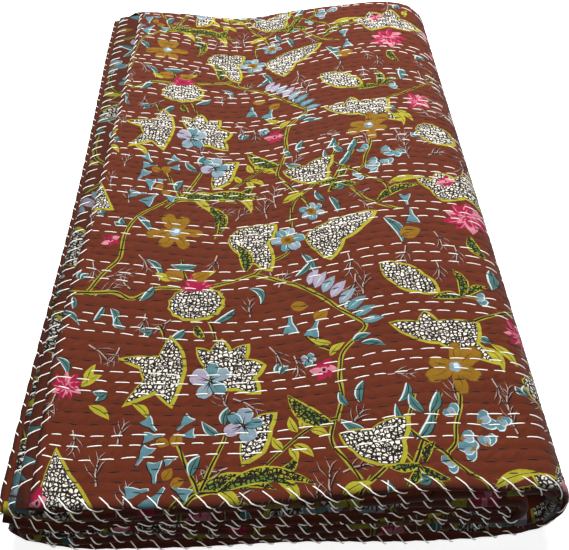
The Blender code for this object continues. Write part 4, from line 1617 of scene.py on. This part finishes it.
class QUILT_OT_stitches(bpy.types.Operator):
    """Sews the running stitches and whips the hems"""

    bl_idname = "quilt.stitches"
    bl_label = "Stitches"

    def execute(self, context):
        settings = context.scene.quilt_settings
        origin = pile_origin()
        white = thread_material("white thread", settings.white_thread)
        brown = thread_material("brown thread", settings.brown_thread)
        rows = range(int((SHOWN_LENGTH + ROW_WAVE - FIRST_ROW) / ROW_PITCH) + 1)
        white_rows = [row for row in rows if row % ROWS_REPEAT >= BROWN_ROWS]
        brown_rows = [row for row in rows if row % ROWS_REPEAT < BROWN_ROWS]
        whips = [side_whips(*run) for run in SIDE_RUNS]
        for number in range(len(BUNDLES)):
            low, high = stretch_of(ACROSS, number, False)
            past, reach = (WRAP_WHIPS, LONG_REACH) if number == 0 else (0.0, SHORT_REACH)
            whips.append(front_whips(low + RUN_GAP, high + past, reach))
            whips.append(fold_whips(low + RUN_GAP, high))
        pieces = (
            (white, running_stitches(white_rows, RUN_GAP, SHOWN_WIDTH, DASH_LENGTH), DASH_RADII),
            (brown, running_stitches(brown_rows, RUN_GAP, SHOWN_WIDTH, BROWN_DASH), BROWN_RADII),
            (white, [np.concatenate(part) for part in zip(*whips)], WHIP_RADII),
        )
        for name, (material, sewn, radii) in zip(STITCH_PIECES, pieces):
            place_piece(name, thread_mesh(name, *sewn, radii * settings.thread, origin), [material])
        return {"FINISHED"}


class QUILT_OT_cloth(bpy.types.Operator):
    """Lays the printed cloth in its folds"""

    bl_idname = "quilt.cloth"
    bl_label = "Cloth"

    def execute(self, context):
        cotton, crackle = cotton_group(), crackle_group()
        materials = []
        for name, code in INKS:
            colour = linear_colour(code)
            if name == "ground":
                colour = (*context.scene.quilt_settings.ground, 1.0)
            cracks = crackle if name in CRACKLED else None
            materials.append(cotton_material(name, colour, cotton, cracks))
        cloth = place_piece("quilt_cloth", cloth_mesh("quilt_cloth", pile_origin()), materials)
        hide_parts(NODE)
        return {"FINISHED"}


CAMERA_PLACE = (-0.00619, -0.53703, 0.50019)
CAMERA_YAW = 0.03082
CAMERA_PITCH = 0.82722
CAMERA_ROLL = 0.00403
CAMERA_LENS = 47.57
SENSOR_WIDTH = 36.0
FLOOR_HALF = 4.0
FLOOR_GREY = 0.93
FLOOR_GLOW = 0.6
SKY_STRENGTH = 0.06
LIGHTS = (
    # name       place               size  watts
    ("overhead", (0.12, 0.75, 1.25), 1.1, 45.0),
    ("fill",     (0.0, -1.1, 1.3),   1.2, 10.0),
)


def add_floor(scene):
    """A pale floor that the camera sees as white and that lights nothing."""
    mesh = bpy.data.meshes.new("floor")
    square = ((-1, -1), (1, -1), (1, 1), (-1, 1))
    corners = [(FLOOR_HALF * x, FLOOR_HALF * y, 0.0) for x, y in square]
    mesh.from_pydata(corners, [], [(0, 1, 2, 3)])
    floor = bpy.data.objects.new("floor", mesh)
    scene.collection.objects.link(floor)
    material, _, _ = new_material(
        "pale floor", Base_Color=(FLOOR_GREY, FLOOR_GREY, FLOOR_GREY, 1.0), Roughness=0.7,
        Emission_Color=(1.0, 1.0, 1.0, 1.0), Emission_Strength=FLOOR_GLOW,
    )
    mesh.materials.append(material)
    floor.visible_diffuse = False


def add_lights(scene):
    """The lamps, which face the pile, and the sky."""
    for name, place, size, watts in LIGHTS:
        light = bpy.data.lights.new(name, "AREA")
        light.energy = watts
        light.size = size
        lamp = bpy.data.objects.new(name, light)
        lamp.location = place
        lamp.rotation_euler = (-Vector(place)).to_track_quat("-Z", "Y").to_euler()
        scene.collection.objects.link(lamp)
    world = bpy.data.worlds.new("studio")
    world.use_nodes = True
    sky = world.node_tree.nodes["Background"]
    sky.inputs["Color"].default_value = (1.0, 1.0, 1.0, 1.0)
    sky.inputs["Strength"].default_value = SKY_STRENGTH
    scene.world = world


def add_camera(scene):
    """The camera at the photo's place."""
    lens = bpy.data.cameras.new("camera")
    lens.lens = CAMERA_LENS
    lens.sensor_width = SENSOR_WIDTH
    lens.sensor_fit = "HORIZONTAL"
    camera = bpy.data.objects.new("camera", lens)
    level = Vector((math.cos(CAMERA_YAW), -math.sin(CAMERA_YAW), 0.0))
    ahead = Vector((math.sin(CAMERA_YAW), math.cos(CAMERA_YAW), 0.0)) * math.cos(CAMERA_PITCH)
    ahead.z = -math.sin(CAMERA_PITCH)
    upright = level.cross(ahead)
    right = level * math.cos(CAMERA_ROLL) + upright * math.sin(CAMERA_ROLL)
    up = upright * math.cos(CAMERA_ROLL) - level * math.sin(CAMERA_ROLL)
    turn = Matrix((right, up, -ahead)).transposed().to_4x4()
    camera.matrix_world = Matrix.Translation(CAMERA_PLACE) @ turn
    scene.collection.objects.link(camera)
    scene.camera = camera


class QUILT_OT_studio(bpy.types.Operator):
    """Adds the floor, the lights and the camera"""

    bl_idname = "quilt.studio"
    bl_label = "Studio"

    def execute(self, context):
        scene = context.scene
        add_floor(scene)
        add_lights(scene)
        scene.view_settings.view_transform = "Standard"
        add_camera(scene)
        return {"FINISHED"}


class QUILT_PT_panel(bpy.types.Panel):
    """The quilt's pieces"""

    bl_idname = "QUILT_PT_panel"
    bl_label = "Quilt"
    bl_space_type = "VIEW_3D"
    bl_region_type = "UI"
    bl_category = "Quilt"

    def draw(self, context):
        for operator in OPERATORS:
            self.layout.operator(operator.bl_idname)
        for name in QuiltSettings.__annotations__:
            self.layout.prop(context.scene.quilt_settings, name)


OPERATORS = (QUILT_OT_stitches, QUILT_OT_cloth, QUILT_OT_studio)
CLASSES = (QuiltSettings, *OPERATORS, QUILT_PT_panel)


def register():
    for made in CLASSES:
        bpy.utils.register_class(made)
    bpy.types.Scene.quilt_settings = bpy.props.PointerProperty(type=QuiltSettings)


def unregister():
    del bpy.types.Scene.quilt_settings
    for made in reversed(CLASSES):
        bpy.utils.unregister_class(made)


def main():
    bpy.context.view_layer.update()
    register()
    bpy.ops.quilt.stitches()
    bpy.ops.quilt.cloth()
    bpy.ops.quilt.studio()
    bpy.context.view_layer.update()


if __name__ == "__main__":
    main()
